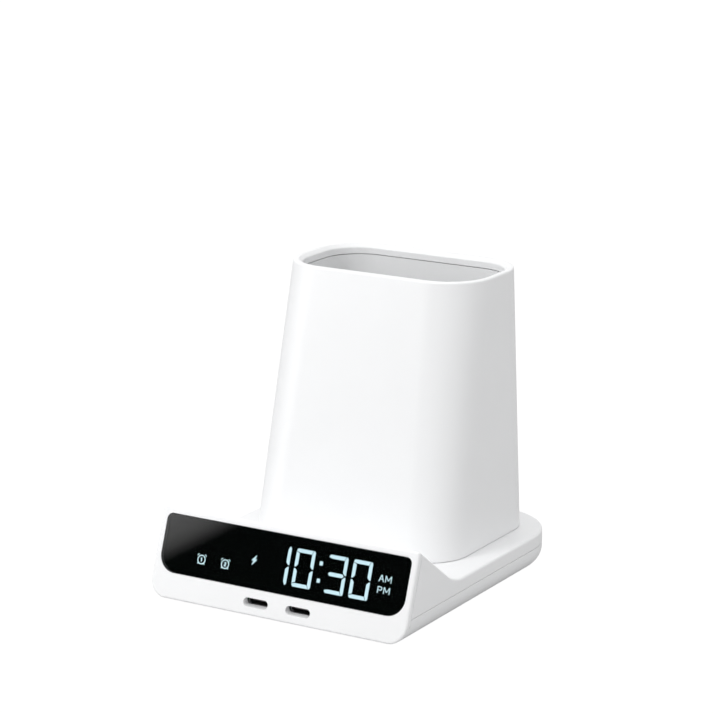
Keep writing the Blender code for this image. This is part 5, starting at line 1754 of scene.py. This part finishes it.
@dataclass
class Underside:
    """The rubber feet and the screws that show from below."""

    shells: BaseShells
    foot_radius: float = 5.5 * MM
    foot_sunk: float = 0.5 * MM
    foot_edge: float = 0.5 * MM
    head_radius: float = 2.0 * MM
    head_height: float = 1.4 * MM
    head_edge: float = 0.55 * MM
    shank_radius: float = 1.1 * MM
    shank_low: float = 1.0 * MM
    cross: Pair = (1.15 * MM, 0.25 * MM)
    cross_depth: float = 0.75 * MM

    def foot(self, name: str, at: Pair) -> bpy.types.Object:
        """Build one foot with an eased rim.

        Args:
            name: which foot it is.
            at: its middle.

        Returns:
            The foot.
        """
        top = self.shells.layout.underside + self.foot_sunk
        form = Form().bars([at], 0.0, top, self.foot_radius, 64)
        form.bevel_where(lambda edge: lies_at(edge, 2, 0.0), self.foot_edge, 5)
        return settle(form.to_object("foot_" + name))

    def screw(self, name: str, number: int, at: Pair) -> bpy.types.Object:
        """Build one screw with a pan head and a cross recess.

        Args:
            name: the frame's node that it stands for.
            number: its number.
            at: its middle.

        Returns:
            The screw.
        """
        low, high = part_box(name)
        form = Form().bars([at], low.z, low.z + self.head_height, self.head_radius, 48)
        form.bevel_where(lambda edge: lies_at(edge, 2, low.z), self.head_edge, 5)
        piece = form.to_object("lower_screw_%d" % number)
        carve(piece, Form().bars([at], low.z + self.shank_low, high.z, self.shank_radius, 24),
              Cut.ONTO)
        for reach in (self.cross, self.cross[::-1]):
            carve(piece, Form().box((at[0] - reach[0], at[1] - reach[1], low.z - OVERRUN),
                                    (at[0] + reach[0], at[1] + reach[1],
                                     low.z + self.cross_depth)))
        return settle(piece)

    def build(self, wardrobe: Wardrobe, finishes: Finishes) -> None:
        """Build, dress and place feet and screws.

        Args:
            wardrobe: what dresses them.
            finishes: the finishes to choose from.
        """
        for name, at in self.shells.feet.items():
            wardrobe.place(self.foot(name, at), finishes.rubber, "rubber_foot_" + name)
        for number, at in enumerate(self.shells.case_screws, start=1):
            name = "case_screw_%d" % number
            wardrobe.place(self.screw(name, number, at), finishes.screw, name)


@dataclass
class Insides:
    """The frame's own inner nodes, which keep their shape and take their finishes."""

    finishes: Finishes

    def finish_of(self, node: str) -> Finish:
        """Return the finish of an inner node.

        Args:
            node: its name.

        Returns:
            The finish of the first word that the name holds, or black plastic.
        """
        wear = self.finishes
        words = {"screw": wear.screw, "board": wear.board, "coil_lead": wear.jacket,
                 "charging_coil": wear.litz, "coil_holder": wear.inner, "ferrite": wear.ferrite,
                 "capacitor": wear.can, "connector": wear.inner, "link_cable": wear.jacket,
                 "light_box": wear.inner}
        return next((finish for word, finish in words.items() if word in node), wear.black)

    def build(self, wardrobe: Wardrobe) -> None:
        """Dress every node that is still shown.

        Args:
            wardrobe: what dresses them.
        """
        for name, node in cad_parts.items():
            if not node.hide_render:
                wardrobe.dress(node, self.finish_of(name))
                log.info("%s: kept, in %s", name, self.finish_of(name).name)


# Studio


@dataclass(frozen=True)
class Lamp:
    """A soft lamp: its name, direction, distance, size and watts."""

    name: str
    towards: Triple
    distance: float
    size: Pair
    power: float

    def hang(self, aim: Vector) -> None:
        """Hang the lamp and turn it to a point.

        Args:
            aim: the point that it lights.
        """
        data = bpy.data.lights.new(self.name, "AREA")
        data.shape = "RECTANGLE"
        data.size, data.size_y = self.size
        data.energy = self.power
        made = add_object(self.name, data)
        direction = Vector(self.towards).normalized()
        made.location = aim + direction * self.distance
        made.rotation_euler = direction.to_track_quat("Z", "Y").to_euler()
        made.visible_camera = False


@dataclass
class Studio:
    """Pale floor, soft lights, the card that the window mirrors, and the camera."""

    ambient: float = 0.72
    lamps: tuple[Lamp, Lamp] = (Lamp("key", (-0.35, -0.70, 0.70), 1.5, (0.5, 0.5), 7.2),
                                Lamp("top", (0.1, 0.0, 1.0), 1.4, (1.2, 1.2), 4.3))
    lamp_aim: Triple = (0.0, 0.0, 50.0 * MM)
    floor_side: float = 6.0
    floor_thickness: float = 4.0 * MM
    floor_tone: float = 0.60
    floor_light: float = 1.09
    floor_glow: float = 0.92
    card_size: Pair = (0.6, 0.4)
    card_thickness: float = 2.0 * MM
    card_distance: float = 350.0 * MM
    card_towards: Triple = (-0.53871, -0.80211, 0.25770)
    card_aim: Triple = (-36.0 * MM, -52.74 * MM, 21.91 * MM)
    sheen_turn: float = math.radians(136.92)
    sheen_scale: float = 755.3
    sheen_power: float = 2.85
    sheen_low: float = -2.2
    sheen_range: float = 14.0
    sheen_stops: tuple[Pair, ...] = ((0.0, 0.0), (0.17, 0.21), (0.28, 0.44), (0.40, 0.59),
                                     (0.57, 0.80), (1.0, 1.0))
    target: Triple = (-2.5 * MM, -0.152 * MM, 81.14 * MM)
    azimuth: float = math.radians(31.13)
    elevation: float = math.radians(14.38)
    distance: float = 1003.52 * MM
    lens: float = 143.37
    sensor: float = 36.0
    clip: Pair = (0.01, 20.0)

    def world(self) -> None:
        """Light everything evenly; camera and mirror rays see plain white."""
        graph = Graph(bpy.data.worlds.new("studio"))
        camera, glossy, through = (graph.node("ShaderNodeLightPath", output="Is %s Ray" % name)
                                   for name in ("Camera", "Glossy", "Transmission"))
        light, white = (graph.node("ShaderNodeBackground",
                                   inputs={"Color": WHITE, "Strength": strength})
                        for strength in (self.ambient, 1.0))
        seen = (camera + glossy + through) > 0.5
        bpy.context.scene.world = graph.close(
            graph.node("ShaderNodeMixShader", inputs={0: seen, 1: light, 2: white}))

    def floor(self) -> None:
        """Lay a white floor that keeps a faint shadow."""
        form, half = Form(), self.floor_side / 2
        form.plate(box_corners(self.floor_side, -half, half), -self.floor_thickness, 0.0)
        piece = form.to_object("floor")
        graph = Graph(bpy.data.materials.new("white_floor"))
        seen = graph.node("ShaderNodeLightPath", output="Is Camera Ray")
        tone = (self.floor_tone, self.floor_tone, self.floor_tone, 1.0)
        matt = graph.node("ShaderNodeBsdfDiffuse", inputs={"Color": tone})
        glow = graph.node("ShaderNodeEmission",
                          inputs={"Color": WHITE, "Strength": self.floor_light})
        piece.data.materials.append(graph.close(graph.node(
            "ShaderNodeMixShader", inputs={0: self.floor_glow * seen, 1: matt, 2: glow})))

    def card(self) -> None:
        """Stand a dark card, lit in one corner, that only mirror rays see."""
        form, half = Form(), self.card_size[1] / 2
        form.plate(box_corners(self.card_size[0], -half, half), 0.0, self.card_thickness)
        piece = form.to_object("card")
        towards = Vector(self.card_towards)
        across = Vector(ABOVE).cross(towards)
        piece.matrix_world = frame_at(Vector(self.card_aim) + towards * self.card_distance, across,
                                      towards.cross(across))
        graph = Graph(bpy.data.materials.new("card_light"))
        slope = (math.cos(self.sheen_turn) * self.sheen_scale,
                 math.sin(self.sheen_turn) * self.sheen_scale, 0)
        along = graph.node("ShaderNodeVectorMath", {"operation": "DOT_PRODUCT"},
                           {0: graph.place(), 1: slope}, output="Value")
        share = (along - self.sheen_low) * (1.0 / self.sheen_range)
        level = graph.node("ShaderNodeValToRGB", {"stops": self.sheen_stops}, {"Fac": share},
                           output="Color")
        piece.data.materials.append(graph.close(graph.node(
            "ShaderNodeEmission", inputs={"Color": level, "Strength": self.sheen_power})))
        piece.visible_camera = False
        piece.visible_diffuse = False
        piece.visible_shadow = False
        piece.visible_transmission = False

    def camera(self) -> None:
        """Stand the camera where the photograph was taken from."""
        data = bpy.data.cameras.new("camera")
        data.lens = self.lens
        data.sensor_width = self.sensor
        data.clip_start, data.clip_end = self.clip
        made = add_object("camera", data)
        level = math.cos(self.elevation)
        back = Vector((math.sin(self.azimuth) * level, -math.cos(self.azimuth) * level,
                       math.sin(self.elevation)))
        made.location = Vector(self.target) + back * self.distance
        made.rotation_euler = back.to_track_quat("Z", "Y").to_euler()
        bpy.context.scene.camera = made

    def build(self) -> None:
        """Set the stage."""
        self.world()
        self.floor()
        for lamp in self.lamps:
            lamp.hang(Vector(self.lamp_aim))
        self.card()
        self.camera()
        bpy.context.scene.view_settings.view_transform = "Standard"


def main() -> None:
    """Build the object's looks in order and set the stage."""
    logging.basicConfig(level=logging.INFO, format="%(name)s %(message)s")
    layout, finishes, wardrobe = Layout(), Finishes(), Wardrobe()
    shells = BaseShells(layout)
    shells.build(wardrobe, finishes)
    ClockDisplay(layout, shells).build(wardrobe, finishes)
    front = layout.port_tunnel + layout.socket_gap
    left, right = layout.ports
    for name, x, recess, place in (
            ("output_socket_left", left, front, layout.front_ports),
            ("output_socket_right", right, front, layout.front_ports),
            ("inlet_socket", -layout.inlet, layout.inlet_recess, layout.rear_wall)):
        Socket(name, x, recess, place, layout).build(wardrobe, finishes)
    for button in CLOCK_BUTTONS:
        button.build(layout, wardrobe, finishes)
    CupBody(layout).build(wardrobe, finishes)
    Underside(shells).build(wardrobe, finishes)
    Insides(finishes).build(wardrobe)
    Studio().build()


if __name__ == "__main__":
    main()
